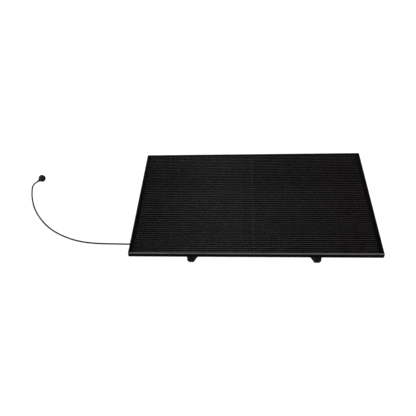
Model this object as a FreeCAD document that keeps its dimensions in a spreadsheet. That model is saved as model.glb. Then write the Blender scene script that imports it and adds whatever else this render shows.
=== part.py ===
"""Free-standing solar module on two tilting supports, with a microinverter and its mains lead.

Axes: +X along the module's long side, +Y from the low front edge to the high rear edge, +Z up.
The origin is on the floor, below the middle of the module and its supports.
All sizes are in millimetres and angles in degrees.
"""
import FreeCAD, Part
import math
import os
import re

import Sketcher

from FreeCAD import Placement, Rotation, Vector

SIZES = {
    # laminate and frame
    "module_width": 1755, "module_depth": 1038, "frame_height": 35, "frame_wall": 1.8,
    "lip_width": 11, "lip_thickness": 1.6, "groove_floor": 7.4, "chamber_top": 9,
    "chamber_floor": 22, "chamber_wall": 1.6, "long_flange": 32, "short_flange": 20,
    "mount_hole_radius": 4.5, "mount_hole_inset": 20, "earth_hole_radius": 2.1, "earth_hole_place": 60,
    "glass_inset": 5, "glass_top": 2.2, "glass_thickness": 3.2, "film_inset": 6,
    "film_thickness": 0.4, "ribbon_thickness": 0.2, "cell_thickness": 0.2, "rear_film_thickness": 0.45,
    "backsheet_thickness": 0.35, "seal_width": 3,
    "cell_width": 83, "cell_depth": 166, "column_gap": 0.9, "row_gap": 2, "centre_gap": 12,
    "cell_columns": 20, "cell_rows": 6, "ribbon_width": 0.9, "ribbons_per_cell": 9,
    "connector_width": 6, "key_arm": 45, "key_play": 0.2,
    # junction boxes on the backsheet
    "junction_width": 90, "junction_depth": 56, "junction_height": 16, "junction_wall": 2,
    "junction_pitch": 346, "junction_lid": 2.4, "diode_radius": 4, "diode_length": 30,
    "outlet_radius": 7, "outlet_length": 16,
    # stance of the module
    "tilt": 10, "front_height": 110, "support_place": 440,
    # carrier rail under the module, and its hinge lug
    "rail_width": 40, "rail_wall": 3, "carrier_height": 25, "carrier_start": 6, "carrier_end": 1026,
    "tongue_end": 44, "cap_thickness": 3, "lug_width": 33, "lug_start": 46, "lug_end": 95,
    "lug_nose": 11, "lug_screw_radius": 3, "lug_screw_head": 5.5, "lug_screw_inset": 12,
    "screw_head_height": 4, "cap_tongue": 12,
    # base rail on the floor
    "pad_height": 6, "base_height": 32, "base_start": 36, "base_end": 1005,
    "anchor_front": 110, "anchor_rear": 790, "anchor_radius": 4.5,
    "pad_length": 60, "pad_inset": 3, "pad_rear_inset": 75,
    # hinge, strut and clamp
    "hinge_place": 60, "hinge_height": 28, "strut_length": 470, "strut_depth": 18, "strut_wall": 3,
    "pivot_drop": 50, "pin_radius": 4, "pin_play": 0.05, "tilt_travel": 20, "slot_play": 0.4,
    "head_radius": 7.5, "head_height": 5.3, "nut_height": 6.5, "washer_radius": 8, "washer_height": 1.6,
    "clamp_play": 0.4, "knob_height": 19, "knob_radius": 15, "knob_cover": 3, "lobe_radius": 4.6,
    "lobe_count": 7, "lobe_step": 5, "bolt_end": 2,
    # tapered front foot
    "foot_face": 27, "foot_thickness": 9, "foot_top": 56, "foot_sole": 18, "foot_outer": 28,
    "foot_inner": 49, "foot_shoulder": 20, "foot_recess": 3, "foot_rim": 5, "boss_radius": 12.5,
    "boss_height": 36, "foot_bolt_radius": 5, "foot_bolt_head": 8.2, "ear_thickness": 5,
    "ear_top": 42, "ear_end": 85, "ear_screw_place": 76, "ear_screw_radius": 2.5,
    "ear_screw_head": 4.6, "ear_head_height": 3, "foot_socket_radius": 4.6, "foot_socket_depth": 4,
    "block_depth": 10, "block_top": 48,
    # cross rail and its cleats
    "cross_place": 300, "cross_depth": 30, "cross_height": 20, "cross_wall": 2,
    "cross_left": -760, "cross_right": 500, "cleat_thickness": 3, "cleat_arm": 30,
    "cleat_foot": 14, "cleat_top": 56, "cleat_screw_radius": 3, "cleat_head_radius": 5.5,
    "cleat_screw_place": 19, "cleat_screw_height": 25, "cleat_screw_drop": 8,
    # microinverter
    "case_left": -715, "case_width": 230, "case_front": 125, "case_depth": 170, "case_floor": 30,
    "case_top": 58, "case_wall": 3, "case_corner": 9, "fin_count": 15, "fin_height": 6, "fin_width": 2.2,
    "fin_pitch": 14, "fin_margin": 12, "ear_plate": 3, "ear_plate_depth": 50,
    "ear_plate_inset": 40, "ear_plate_edge": 5, "ear_hole_inset": 60, "case_side": 9,
    "fin_front": 8, "fin_rear": 22, "lid_thickness": 2,
    "board_height": 36, "board_thickness": 1.6, "board_play": 8, "inlet_radius": 8, "inlet_length": 22,
    "inlet_bore": 4, "inlet_pitch": 40, "inlet_start": 55, "inlet_floor": 4, "lens_radius": 3,
    "lens_height": 2, "lens_place": 25, "coil_radius": 13, "coil_height": 12, "coil_place": 55,
    "can_radius": 6, "can_height": 14, "can_place": 120, "lid_screw_radius": 3.4, "lid_screw_height": 2,
    "lid_screw_side": 5, "lid_screw_end": 14,
    "gland_place": 210.155, "gland_height": 44, "gland_radius": 10.5, "gland_length": 8,
    "gland_nut_radius": 12, "gland_nut_length": 12, "relief_radius": 9.2, "relief_length": 28,
    "relief_lip": 0.7,
    # mains lead and plug
    "cord_radius": 6, "plug_across": -1888, "plug_along": 556, "plug_turn": 243, "plug_radius": 30,
    "plug_thickness": 30, "plug_round": 7, "neck_radius": 11, "neck_end": 39, "plug_relief": 22,
    "face_radius": 18.6, "face_height": 7, "prong_radius": 2.4, "prong_length": 19, "prong_place": 9.5,
    "earth_strip": 8, "earth_thickness": 0.8, "earth_height": 9, "plug_exit_run": 40,
}

doc = FreeCAD.newDocument("SolarModule")
sheet = doc.addObject("Spreadsheet::Sheet", "Dims")
for row, (alias, number) in enumerate(SIZES.items(), start=1):
    sheet.set(f"A{row}", alias)
    sheet.set(f"B{row}", str(number))
    sheet.setAlias(f"B{row}", alias)
doc.recompute()

parts = {}


def bound(text):
    """Writes the sheet's name before each alias of an expression."""
    return re.sub(r"[a-z_]+", lambda word: f"Dims.{word[0]}" if word[0] in SIZES else word[0], str(text))


def size(text):
    """The value of an expression on the sheet's aliases."""
    return float(sheet.evalExpression(str(text)))


def keep(item, name, place=None):
    """Names a finished sub-part, puts it in its place and lists it for export."""
    item.Label = name
    if place is not None:
        item.Placement = place
    parts[name] = item
    return item


# places

TILT = math.radians(size("tilt"))
FRONT = -(size("module_depth") * math.cos(TILT) + size("frame_height") * math.sin(TILT)) / 2
SIDES = {"left": -1, "right": 1}
FLOOR = Placement(Vector(0, FRONT, 0), Rotation())
MODULE = Placement(Vector(0, FRONT, size("front_height")), Rotation(Vector(1, 0, 0), size("tilt")))
MIDDLE = MODULE.multiply(Placement(Vector(0, size("module_depth") / 2, 0), Rotation()))
HINGE = Vector(0, FRONT + size("hinge_place"), size("hinge_height"))
HINGE_IN_MODULE = MODULE.inverse().multVec(HINGE)
PIVOT_REACH = math.sqrt(size("strut_length") ** 2 - (HINGE_IN_MODULE.z + size("pivot_drop")) ** 2)
PIVOT_IN_MODULE = Vector(0, HINGE_IN_MODULE.y + PIVOT_REACH, -size("pivot_drop"))
PIVOT = MODULE.multVec(PIVOT_IN_MODULE)
STRUT_ANGLE = math.degrees(math.asin((PIVOT.z - HINGE.z) / size("strut_length")))


def clamp_place(lift):
    """How far behind the hinge the strut's lower end stands when the module is raised by lift."""
    return 2 * size("strut_length") * math.cos(math.radians(STRUT_ANGLE + lift))


CLAMP = Vector(0, HINGE.y + clamp_place(0), HINGE.z)
SLOT_FRONT = HINGE.y + clamp_place(size("tilt_travel")) - FRONT
SLOT_REAR = CLAMP.y - FRONT


def beside(side, place):
    """A place moved across to one support."""
    return Placement(Vector(SIDES[side] * size("support_place"), 0, 0), Rotation()).multiply(place)


# builders for sketched sub-parts


def new_body(name):
    return doc.addObject("PartDesign::Body", name + "_body")


def new_sketch(body, plane, lift="0"):
    """A sketch on one of the body's own origin planes, raised along that plane's normal by lift."""
    sketch = body.newObject("Sketcher::SketchObject", body.Name + "_sketch")
    planes = [item for item in body.Origin.OriginFeatures if item.Role == plane]
    sketch.AttachmentSupport = (planes[0], [""])
    sketch.MapMode = "FlatFace"
    if str(lift) != "0":
        sketch.AttachmentOffset = Placement(Vector(0, 0, size(lift)), Rotation())
        sketch.setExpression(".AttachmentOffset.Base.z", bound(lift))
    return sketch


def dimension(sketch, kind, geometry, point, text):
    """Ties one coordinate of a sketch point to the sheet."""
    index = sketch.addConstraint(Sketcher.Constraint(kind, -1, 1, geometry, point, size(text)))
    if re.search("[a-z]", str(text)):
        sketch.setExpression(f"Constraints[{index}]", bound(text))


def outline(sketch, points):
    """Draws a closed outline of straight lines with each corner tied to the sheet."""
    corners = [Vector(size(across), size(up), 0) for across, up in points]
    first = sketch.GeometryCount
    for index, corner in enumerate(corners):
        sketch.addGeometry(Part.LineSegment(corner, corners[(index + 1) % len(corners)]), False)
    for index, (across, up) in enumerate(points):
        after = first + (index + 1) % len(corners)
        sketch.addConstraint(Sketcher.Constraint("Coincident", first + index, 2, after, 1))
        dimension(sketch, "DistanceX", first + index, 1, across)
        dimension(sketch, "DistanceY", first + index, 1, up)
    return sketch


def rectangle(sketch, left, low, right, high):
    return outline(sketch, [(left, low), (right, low), (right, high), (left, high)])


def circles(sketch, radius, centres):
    """Draws circles of one radius about the given centres."""
    for across, up in centres:
        circle = sketch.addGeometry(
            Part.Circle(Vector(size(across), size(up), 0), Vector(0, 0, 1), size(radius)), False
        )
        dimension(sketch, "DistanceX", circle, 3, across)
        dimension(sketch, "DistanceY", circle, 3, up)
        index = sketch.addConstraint(Sketcher.Constraint("Radius", circle, size(radius)))
        if re.search("[a-z]", str(radius)):
            sketch.setExpression(f"Constraints[{index}]", bound(radius))
    return sketch


def extrude(kind, body, sketch, length, way):
    """Pads or pockets a sketch: way is forward, back or both about the sketch's plane."""
    feature = body.newObject(f"PartDesign::{kind}", f"{body.Name}_{kind.lower()}")
    feature.Profile = sketch
    feature.Length = size(length)
    if re.search("[a-z]", str(length)):
        feature.setExpression("Length", bound(length))
    feature.SideType = "Symmetric" if way == "both" else "One side"
    feature.Reversed = way == "back"
    return feature


def pad(body, sketch, length, way="forward"):
    return extrude("Pad", body, sketch, length, way)


def pocket(body, sketch, length, way="forward"):
    """A pocket has to take material away, so the body's volume is compared before and after."""
    doc.recompute()
    before = body.Shape.Volume
    feature = extrude("Pocket", body, sketch, length, way)
    doc.recompute()
    if body.Shape.Volume > before - 0.01:
        raise RuntimeError(f"{body.Name}: a pocket cuts nothing")
    return feature


def repeat(body, feature, steps):
    """Repeats a feature through a chain of patterns.

    A step is (axis, spacing, count) for a row or (plane,) for a mirror image.
    """
    doc.recompute()
    multi = body.newObject("PartDesign::MultiTransform", body.Name + "_pattern")
    multi.Originals = [feature]
    transformations = []
    for step in steps:
        reference = [item for item in body.Origin.OriginFeatures if item.Role == step[0]][0]
        if len(step) == 1:
            change = doc.addObject("PartDesign::Mirrored", body.Name + "_mirror")
            change.MirrorPlane = (reference, [""])
        else:
            change = doc.addObject("PartDesign::LinearPattern", body.Name + "_row")
            change.Direction = (reference, [""])
            change.Length = size(f"({step[1]}) * ({step[2]} - 1)")
            change.setExpression("Length", bound(f"({step[1]}) * ({step[2]} - 1)"))
            change.Occurrences = round(size(step[2]))
            change.setExpression("Occurrences", bound(step[2]))
        body.addObject(change)
        transformations.append(change)
    multi.Transformations = transformations
    body.Tip = multi
    doc.recompute()
    return multi


# builders for simple solids


def tie(item, name, text):
    """Sets one property of a solid from the sheet."""
    if re.search("[a-z]", str(text)):
        item.setExpression(name, bound(text))
    else:
        path, _, last = name.rpartition(".")
        if path:
            placement = item.Placement
            setattr(placement.Base, last, float(text))
            item.Placement = placement
        else:
            setattr(item, name, float(text))


def block(corner, extent):
    """A box from its lowest corner and its size along each axis."""
    item = doc.addObject("Part::Box", "block")
    for name, text in zip(("Length", "Width", "Height"), extent):
        tie(item, name, text)
    for axis, text in zip("xyz", corner):
        tie(item, f"Placement.Base.{axis}", text)
    return item


TURNS = {
    "+x": Rotation(Vector(0, 1, 0), 90),
    "-x": Rotation(Vector(0, 1, 0), -90),
    "+y": Rotation(Vector(1, 0, 0), -90),
    "-y": Rotation(Vector(1, 0, 0), 90),
    "+z": Rotation(),
    "-z": Rotation(Vector(1, 0, 0), 180),
}


def turned(item, start, way):
    item.Placement = Placement(Vector(0, 0, 0), TURNS[way])
    for axis, text in zip("xyz", start):
        tie(item, f"Placement.Base.{axis}", text)
    return item


def rod(radius, length, start, way):
    """A round bar from the centre of its first end, along way."""
    item = doc.addObject("Part::Cylinder", "rod")
    tie(item, "Radius", radius)
    tie(item, "Height", length)
    return turned(item, start, way)


def hexagon(radius, length, start, way):
    """A six-sided bar such as a bolt head or a nut; radius reaches its corners."""
    item = doc.addObject("Part::Prism", "hexagon")
    item.Polygon = 6
    tie(item, "Circumradius", radius)
    tie(item, "Height", length)
    return turned(item, start, way)


def taper(first, second, length, start, way):
    """A cone with its two end radii."""
    item = doc.addObject("Part::Cone", "taper")
    tie(item, "Radius1", first)
    tie(item, "Radius2", second)
    tie(item, "Height", length)
    return turned(item, start, way)


def joined(*items):
    item = doc.addObject("Part::MultiFuse", "joined")
    item.Shapes = list(items)
    return item


def without(base, *tools):
    item = doc.addObject("Part::Cut", "without")
    item.Base = base
    item.Tool = tools[0] if len(tools) == 1 else joined(*tools)
    return item


def group(*items):
    """Like solids that share one node."""
    item = doc.addObject("Part::Compound", "set")
    item.Links = list(items)
    return item


# laminate: glass, films, cells and backsheet

FRONT_FILM = "glass_top + glass_thickness"
RIBBONS = f"{FRONT_FILM} + film_thickness"
CELLS = f"{RIBBONS} + ribbon_thickness"
REAR_FILM = f"{CELLS} + cell_thickness"
BACKSHEET = f"{REAR_FILM} + rear_film_thickness"
LAMINATE_BACK = f"{BACKSHEET} + backsheet_thickness"
CELL_PITCH = "cell_width + column_gap"
ROW_PITCH = "cell_depth + row_gap"
RIBBON_PITCH = "cell_depth / ribbons_per_cell"
STRING_END = "centre_gap / 2 + cell_columns / 2 * (cell_width + column_gap) - column_gap"


def layer(inset, top, thickness):
    """One full layer of the laminate."""
    corner = (f"-module_width / 2 + {inset}", f"-module_depth / 2 + {inset}", f"-({top}) - {thickness}")
    return block(corner, (f"module_width - 2 * {inset}", f"module_depth - 2 * {inset}", thickness))


def laminate():
    """Glass, the two encapsulant films and the backsheet."""
    glass = layer("glass_inset", "glass_top", "glass_thickness")
    front_film = layer("film_inset", FRONT_FILM, "film_thickness")
    rear_film = layer("film_inset", REAR_FILM, "rear_film_thickness")
    back = layer("film_inset", BACKSHEET, "backsheet_thickness")
    keep(group(glass), "front_glass", MIDDLE)
    keep(group(front_film, rear_film), "encapsulant_films", MIDDLE)
    keep(group(back), "backsheet", MIDDLE)


def solar_cells():
    """Half-cut cells in two blocks with a wider gap between them."""
    body = new_body("solar_cells")
    sketch = new_sketch(body, "XY_Plane", f"-({REAR_FILM})")
    rectangle(
        sketch, "centre_gap / 2", "row_gap / 2", "centre_gap / 2 + cell_width", "row_gap / 2 + cell_depth",
    )
    cell = pad(body, sketch, "cell_thickness")
    steps = [
        ("X_Axis", CELL_PITCH, "cell_columns / 2"),
        ("Y_Axis", ROW_PITCH, "cell_rows / 2"),
        ("YZ_Plane",),
        ("XZ_Plane",),
    ]
    repeat(body, cell, steps)
    keep(body, "solar_cells", MIDDLE)


def cell_ribbons():
    """Flat wires along each row of cells, on their front side."""
    body = new_body("cell_ribbons")
    sketch = new_sketch(body, "XY_Plane", f"-({CELLS})")
    first = f"row_gap / 2 + {RIBBON_PITCH} / 2"
    low, high = f"{first} - ribbon_width / 2", f"{first} + ribbon_width / 2"
    rectangle(sketch, f"-({STRING_END})", low, STRING_END, high)
    ribbon = pad(body, sketch, "ribbon_thickness")
    steps = [
        ("Y_Axis", RIBBON_PITCH, "ribbons_per_cell"),
        ("Y_Axis", ROW_PITCH, "cell_rows / 2"),
        ("XZ_Plane",),
    ]
    repeat(body, ribbon, steps)
    keep(group(body, *string_connectors()), "cell_ribbons", MIDDLE)


def string_connectors():
    """Cross ribbons at both ends of the cell rows, which join the rows into strings."""
    length = "cell_rows * (cell_depth + row_gap)"
    extent = ("connector_width", length, "ribbon_thickness")
    starts = (f"-({STRING_END}) - connector_width", STRING_END)
    return [block((start, f"-({length}) / 2", f"-({CELLS})"), extent) for start in starts]


def edge_seal():
    """Four silicone beads that hold the laminate in the frame's groove."""
    depth = "groove_floor - lip_thickness"
    left, front = "-module_width / 2 + frame_wall + 0.2", "-module_depth / 2 + frame_wall + 0.2"
    across = ("module_width - 2 * frame_wall - 0.4", "seal_width", depth)
    along = ("seal_width", "module_depth - 2 * frame_wall - 2 * seal_width - 0.4", depth)
    far = "module_depth / 2 - frame_wall - 0.2 - seal_width"
    right = "module_width / 2 - frame_wall - 0.2 - seal_width"
    beads = [
        block((left, front, "-groove_floor"), across),
        block((left, far, "-groove_floor"), across),
        block((left, f"{front} + seal_width", "-groove_floor"), along),
        block((right, f"{front} + seal_width", "-groove_floor"), along),
    ]
    keep(group(*beads), "edge_seal", MIDDLE)


# frame of four mitred rails on corner keys


def frame_rail(name, length, flange, place, holes):
    """One extruded rail: lip, glass groove, hollow chamber, outer wall and bottom flange."""
    body = new_body(name)
    section = new_sketch(body, "YZ_Plane")
    outline(section, [
        ("0", "0"), ("lip_width", "0"), ("lip_width", "-lip_thickness"), ("frame_wall", "-lip_thickness"),
        ("frame_wall", "-groove_floor"), ("lip_width", "-groove_floor"),
        ("lip_width", "-chamber_floor - chamber_wall"), ("frame_wall", "-chamber_floor - chamber_wall"),
        ("frame_wall", "-frame_height + frame_wall"), (flange, "-frame_height + frame_wall"),
        (flange, "-frame_height"), ("0", "-frame_height"),
    ])
    rectangle(section, "frame_wall", "-chamber_floor", "lip_width - chamber_wall", "-chamber_top")
    pad(body, section, length, "both")
    mitres = new_sketch(body, "XY_Plane")
    reach = f"{flange} + 5"
    for sign in ("-1", "1"):
        end = f"{sign} * {length} / 2"
        outline(mitres, [
            (f"{end} + {sign}", "-1"), (f"{end} - {sign} * ({reach})", reach), (f"{end} + {sign}", reach),
        ])
    pocket(body, mitres, "frame_height + 1")
    if holes:
        centres = [("-support_place", "mount_hole_inset"), ("support_place", "mount_hole_inset")]
        pocket(body, circles(new_sketch(body, "XY_Plane"), "mount_hole_radius", centres), "frame_height + 1")
        centres = [("-earth_hole_place", "mount_hole_inset"), ("earth_hole_place", "mount_hole_inset")]
        pocket(body, circles(new_sketch(body, "XY_Plane"), "earth_hole_radius", centres), "frame_height + 1")
    keep(body, name, MIDDLE.multiply(place))


def frame():
    half_width, half_depth = size("module_width") / 2, size("module_depth") / 2
    spin = {angle: Rotation(Vector(0, 0, 1), angle) for angle in (0, 90, 180, 270)}
    long_side, short_side = ("module_width", "long_flange"), ("module_depth", "short_flange")
    frame_rail("frame_front", *long_side, Placement(Vector(0, -half_depth, 0), spin[0]), True)
    frame_rail("frame_rear", *long_side, Placement(Vector(0, half_depth, 0), spin[180]), True)
    frame_rail("frame_left", *short_side, Placement(Vector(-half_width, 0, 0), spin[270]), False)
    frame_rail("frame_right", *short_side, Placement(Vector(half_width, 0, 0), spin[90]), False)


def corner_keys():
    """L-shaped blocks inside the chambers, which join the mitred rails."""
    body = new_body("corner_keys")
    sketch = new_sketch(body, "XY_Plane", "-chamber_floor + key_play")
    left, front = "-module_width / 2", "-module_depth / 2"
    thin, wide = "(frame_wall + key_play)", "(lip_width - chamber_wall - key_play)"
    outline(sketch, [
        (f"{left} + {thin}", f"{front} + {thin}"), (f"{left} + key_arm", f"{front} + {thin}"),
        (f"{left} + key_arm", f"{front} + {wide}"), (f"{left} + {wide}", f"{front} + {wide}"),
        (f"{left} + {wide}", f"{front} + key_arm"), (f"{left} + {thin}", f"{front} + key_arm"),
    ])
    key = pad(body, sketch, "chamber_floor - chamber_top - 2 * key_play")
    repeat(body, key, [("YZ_Plane",), ("XZ_Plane",)])
    keep(body, "corner_keys", MIDDLE)


# junction boxes

JUNCTION_FLOOR = f"{LAMINATE_BACK} + junction_height"


def junction_boxes():
    """Three open boxes in a row across the middle of the backsheet."""
    body = new_body("junction_boxes")
    outer = new_sketch(body, "XY_Plane", f"-({LAMINATE_BACK})")
    low = "-junction_pitch - junction_depth / 2"
    rectangle(outer, "-junction_width / 2", low, "junction_width / 2", f"{low} + junction_depth")
    shell = pad(body, outer, "junction_height", "back")
    repeat(body, shell, [("Y_Axis", "junction_pitch", "3")])
    inner = new_sketch(body, "XY_Plane", f"-({JUNCTION_FLOOR})")
    for row in ("-1", "0", "1"):
        low = f"{row} * junction_pitch - junction_depth / 2 + junction_wall"
        rectangle(
            inner, "-junction_width / 2 + junction_wall", low,
            "junction_width / 2 - junction_wall", f"{low} + junction_depth - 2 * junction_wall",
        )
    pocket(body, inner, "junction_height - junction_wall", "back")
    keep(body, "junction_boxes", MIDDLE)


def junction_parts():
    """The lids, bypass diodes and blanked cable outlets of the junction boxes."""
    lids, diodes, outlets = [], [], []
    height = f"-({JUNCTION_FLOOR}) + junction_height / 2"
    for row in ("-1", "0", "1"):
        middle = f"{row} * junction_pitch"
        lid_floor = f"-({JUNCTION_FLOOR}) - junction_lid"
        corner = ("-junction_width / 2", f"{middle} - junction_depth / 2", lid_floor)
        lids.append(block(corner, ("junction_width", "junction_depth", "junction_lid")))
        diodes.append(rod("diode_radius", "diode_length", ("-diode_length / 2", middle, height), "+x"))
    for row, way in (("-1", "-x"), ("1", "+x")):
        start = (f"{row} * junction_width / 2", f"{row} * junction_pitch", height)
        outlets.append(rod("outlet_radius", "outlet_length", start, way))
    keep(group(*lids), "junction_lids", MIDDLE)
    keep(group(*diodes), "bypass_diodes", MIDDLE)
    keep(group(*outlets), "junction_outlets", MIDDLE)


# carrier rails, hinge lugs and what bolts them together


def carrier_rail(side):
    """A channel that opens downwards; its web runs on forwards as a tongue under the front rail."""
    body = new_body(f"carrier_rail_{side}")
    top = "-frame_height"
    floor = "-frame_height - carrier_height"
    half, hollow = "rail_width / 2", "(rail_width / 2 - rail_wall)"
    section = new_sketch(body, "XZ_Plane", "-carrier_start")
    outline(section, [
        (f"-{half}", top), (half, top), (half, floor), (hollow, floor), (hollow, f"{top} - rail_wall"),
        (f"-{hollow}", f"{top} - rail_wall"), (f"-{hollow}", floor), (f"-{half}", floor),
    ])
    pad(body, section, "carrier_end - carrier_start", "back")
    gap = new_sketch(body, "YZ_Plane")
    rectangle(gap, "carrier_start - 1", f"{floor} - 1", "tongue_end", f"{top} - rail_wall")
    pocket(body, gap, "rail_width + 2", "both")
    holes = circles(new_sketch(body, "XY_Plane"), "mount_hole_radius - 0.2", [
        ("0", "mount_hole_inset"), ("0", "module_depth - mount_hole_inset"),
    ])
    pocket(body, holes, "frame_height + rail_wall + 1")
    centres = [(PIVOT_IN_MODULE.y, "-pivot_drop")]
    pivot = circles(new_sketch(body, "YZ_Plane"), "pin_radius + pin_play", centres)
    pocket(body, pivot, "rail_width + 2", "both")
    screws = circles(new_sketch(body, "YZ_Plane"), "lug_screw_radius + pin_play", lug_screw_places())
    pocket(body, screws, "rail_width + 2", "both")
    keep(body, f"carrier_rail_{side}", beside(side, MODULE))


def lug_screw_places():
    height = "-frame_height - carrier_height / 2"
    return [("lug_start + lug_screw_inset", height), ("lug_end - lug_screw_inset", height)]


def hinge_lug(side):
    """A block in the carrier rail's front end that hangs down to the hinge pin."""
    body = new_body(f"hinge_lug_{side}")
    top, floor = "-frame_height - rail_wall - key_play", "-frame_height - carrier_height"
    along, down = HINGE_IN_MODULE.y, HINGE_IN_MODULE.z
    profile = new_sketch(body, "YZ_Plane")
    outline(profile, [
        ("lug_start", top), ("lug_end", top), ("lug_end", floor), (f"{along} + lug_nose", down),
        (f"{along} - lug_nose", down), ("lug_start", floor),
    ])
    pad(body, profile, "lug_width", "both")
    nose = circles(new_sketch(body, "YZ_Plane"), "lug_nose", [(along, down)])
    pad(body, nose, "lug_width", "both")
    bore = circles(new_sketch(body, "YZ_Plane"), "pin_radius + pin_play", [(along, down)])
    pocket(body, bore, "lug_width + 2", "both")
    screws = circles(new_sketch(body, "YZ_Plane"), "lug_screw_radius + pin_play", lug_screw_places())
    pocket(body, screws, "lug_width + 2", "both")
    body.Placement = beside(side, Placement())
    return body


def cross_bolt(sign, radius, head, along, up, inner_end, outer_end):
    """A bolt across one support: its head is on the inner side and its shank runs outwards."""
    middle = f"{sign} * support_place"
    way = "+x" if sign > 0 else "-x"
    shank = rod(radius, f"{inner_end} + {outer_end}", (f"{middle} - {sign} * ({inner_end})", along, up), way)
    start = (f"{middle} - {sign} * ({inner_end} + {head[1]})", along, up)
    return joined(shank, hexagon(head[0], head[1], start, way))


def cross_nut(sign, radius, along, up, inner_face):
    """A nut on such a bolt, against the outer side of the support."""
    middle = f"{sign} * support_place"
    way = "+x" if sign > 0 else "-x"
    start = (f"{middle} + {sign} * ({inner_face})", along, up)
    nut = hexagon("head_radius", "nut_height", start, way)
    return without(nut, rod(radius, "nut_height", start, way))


def carrier_hardware():
    """Bolts through the module's flanges, pivot bolts of the struts, lug screws and end caps."""
    bolts, nuts, pivots, screws, caps = [], [], [], [], []
    web = "-frame_height - rail_wall"
    for sign in SIDES.values():
        across = f"{sign} * support_place"
        for along in ("mount_hole_inset", "module_depth - mount_hole_inset"):
            head = hexagon("head_radius", "head_height", (across, along, "-frame_height + frame_wall"), "+z")
            start = (across, along, "-frame_height + frame_wall")
            length = "frame_wall + rail_wall + nut_height + bolt_end"
            bolts.append(joined(head, rod("pin_radius", length, start, "-z")))
            nut = hexagon("head_radius", "nut_height", (across, along, web), "-z")
            nuts.append(without(nut, rod("pin_radius", "nut_height", (across, along, web), "-z")))
        head = ("head_radius", "head_height")
        wall = "rail_width / 2"
        pivot = (PIVOT_IN_MODULE.y, "-pivot_drop")
        pivots.append(cross_bolt(sign, "pin_radius", head, *pivot, wall, f"{wall} + nut_height + bolt_end"))
        nuts.append(cross_nut(sign, "pin_radius", *pivot, wall))
        head = ("lug_screw_head", "screw_head_height")
        for place in lug_screw_places():
            screws.append(cross_bolt(sign, "lug_screw_radius", head, *place, wall, f"{wall} + bolt_end / 2"))
        cap = block(
            (f"{across} - rail_width / 2", "carrier_end", "-frame_height - carrier_height"),
            ("rail_width", "cap_thickness", "carrier_height"),
        )
        plug = block(
            (f"{across} - lug_width / 2", "carrier_end - cap_tongue", "-frame_height - carrier_height"),
            ("lug_width", "cap_tongue", "carrier_height - rail_wall - key_play"),
        )
        nut_place = (across, "module_depth - mount_hole_inset", web)
        clear = rod("head_radius + 1", "carrier_height", nut_place, "-z")
        caps.append(without(joined(cap, plug), clear))
    keep(group(*bolts), "module_bolts", MODULE)
    keep(group(*nuts), "carrier_nuts", MODULE)
    keep(group(*pivots), "strut_pivot_bolts", MODULE)
    keep(group(*screws), "lug_screws", MODULE)
    keep(group(*caps), "carrier_end_caps", MODULE)


# struts, clamp bolts and star knobs


def strut(side):
    """A channel with rounded ends, from its pivot in the carrier down to its clamp in the base rail."""
    body = new_body(f"strut_{side}")
    half = "strut_depth / 2"
    profile = new_sketch(body, "YZ_Plane")
    rectangle(profile, "0", f"-{half}", "strut_length", half)
    pad(body, profile, "lug_width", "both")
    ends = [("0", "0"), ("strut_length", "0")]
    pad(body, circles(new_sketch(body, "YZ_Plane"), half, ends), "lug_width", "both")
    hollow = new_sketch(body, "YZ_Plane")
    rectangle(hollow, "-strut_depth", f"-{half} - 1", "strut_length + strut_depth", f"{half} - strut_wall")
    pocket(body, hollow, "lug_width - 2 * strut_wall", "both")
    bores = circles(new_sketch(body, "YZ_Plane"), "pin_radius + pin_play", ends)
    pocket(body, bores, "lug_width + 2", "both")
    keep(body, f"strut_{side}", beside(side, Placement(PIVOT, Rotation(Vector(1, 0, 0), -STRUT_ANGLE))))


def clamp_hardware(side):
    """The bolt that slides in the base rail's slot, with its two washers."""
    sign = SIDES[side]
    way = "+x" if sign > 0 else "-x"
    gap = "(rail_width / 2 + clamp_play)"
    reach = f"{gap} + washer_height + knob_height - knob_cover - clamp_play"
    inner = f"{gap} + washer_height"
    shank = rod("pin_radius", f"{inner} + {reach}", (f"-{sign} * ({inner})", "0", "0"), way)
    head = hexagon("head_radius", "head_height", (f"-{sign} * ({inner} + head_height)", "0", "0"), way)
    place = beside(side, Placement(CLAMP, Rotation()))
    keep(joined(shank, head), f"clamp_bolt_{side}", place)
    washers = []
    for start in (f"-{sign} * ({inner})", f"{sign} * {gap}"):
        disc = rod("washer_radius", "washer_height", (start, "0", "0"), way)
        washers.append(without(disc, rod("pin_radius", "washer_height", (start, "0", "0"), way)))
    keep(group(*washers), f"clamp_washers_{side}", place)


def star_knob(side):
    """A hand knob with rounded lobes, moulded round a threaded insert."""
    sign = SIDES[side]
    way = "forward" if sign > 0 else "back"
    start = f"{sign} * (rail_width / 2 + clamp_play + washer_height + clamp_play)"
    body = new_body(f"star_knob_{side}")
    pad(body, circles(new_sketch(body, "YZ_Plane", start), "knob_radius", [("0", "0")]), "knob_height", way)
    lobe = circles(new_sketch(body, "YZ_Plane", start), "lobe_radius", [("0", "knob_radius")])
    lobe_pad = pad(body, lobe, "knob_height - lobe_step", way)
    doc.recompute()
    ring = body.newObject("PartDesign::PolarPattern", body.Name + "_lobes")
    ring.Originals = [lobe_pad]
    ring.Axis = ([item for item in body.Origin.OriginFeatures if item.Role == "X_Axis"][0], [""])
    ring.Angle = 360
    ring.Occurrences = round(size("lobe_count"))
    ring.setExpression("Occurrences", bound("lobe_count"))
    body.Tip = ring
    bore = circles(new_sketch(body, "YZ_Plane", start), "pin_radius + pin_play", [("0", "0")])
    pocket(body, bore, "knob_height - knob_cover", "back" if sign > 0 else "forward")
    keep(body, f"star_knob_{side}", beside(side, Placement(CLAMP, Rotation())))


# base rails, feet and hinge pins


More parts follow.
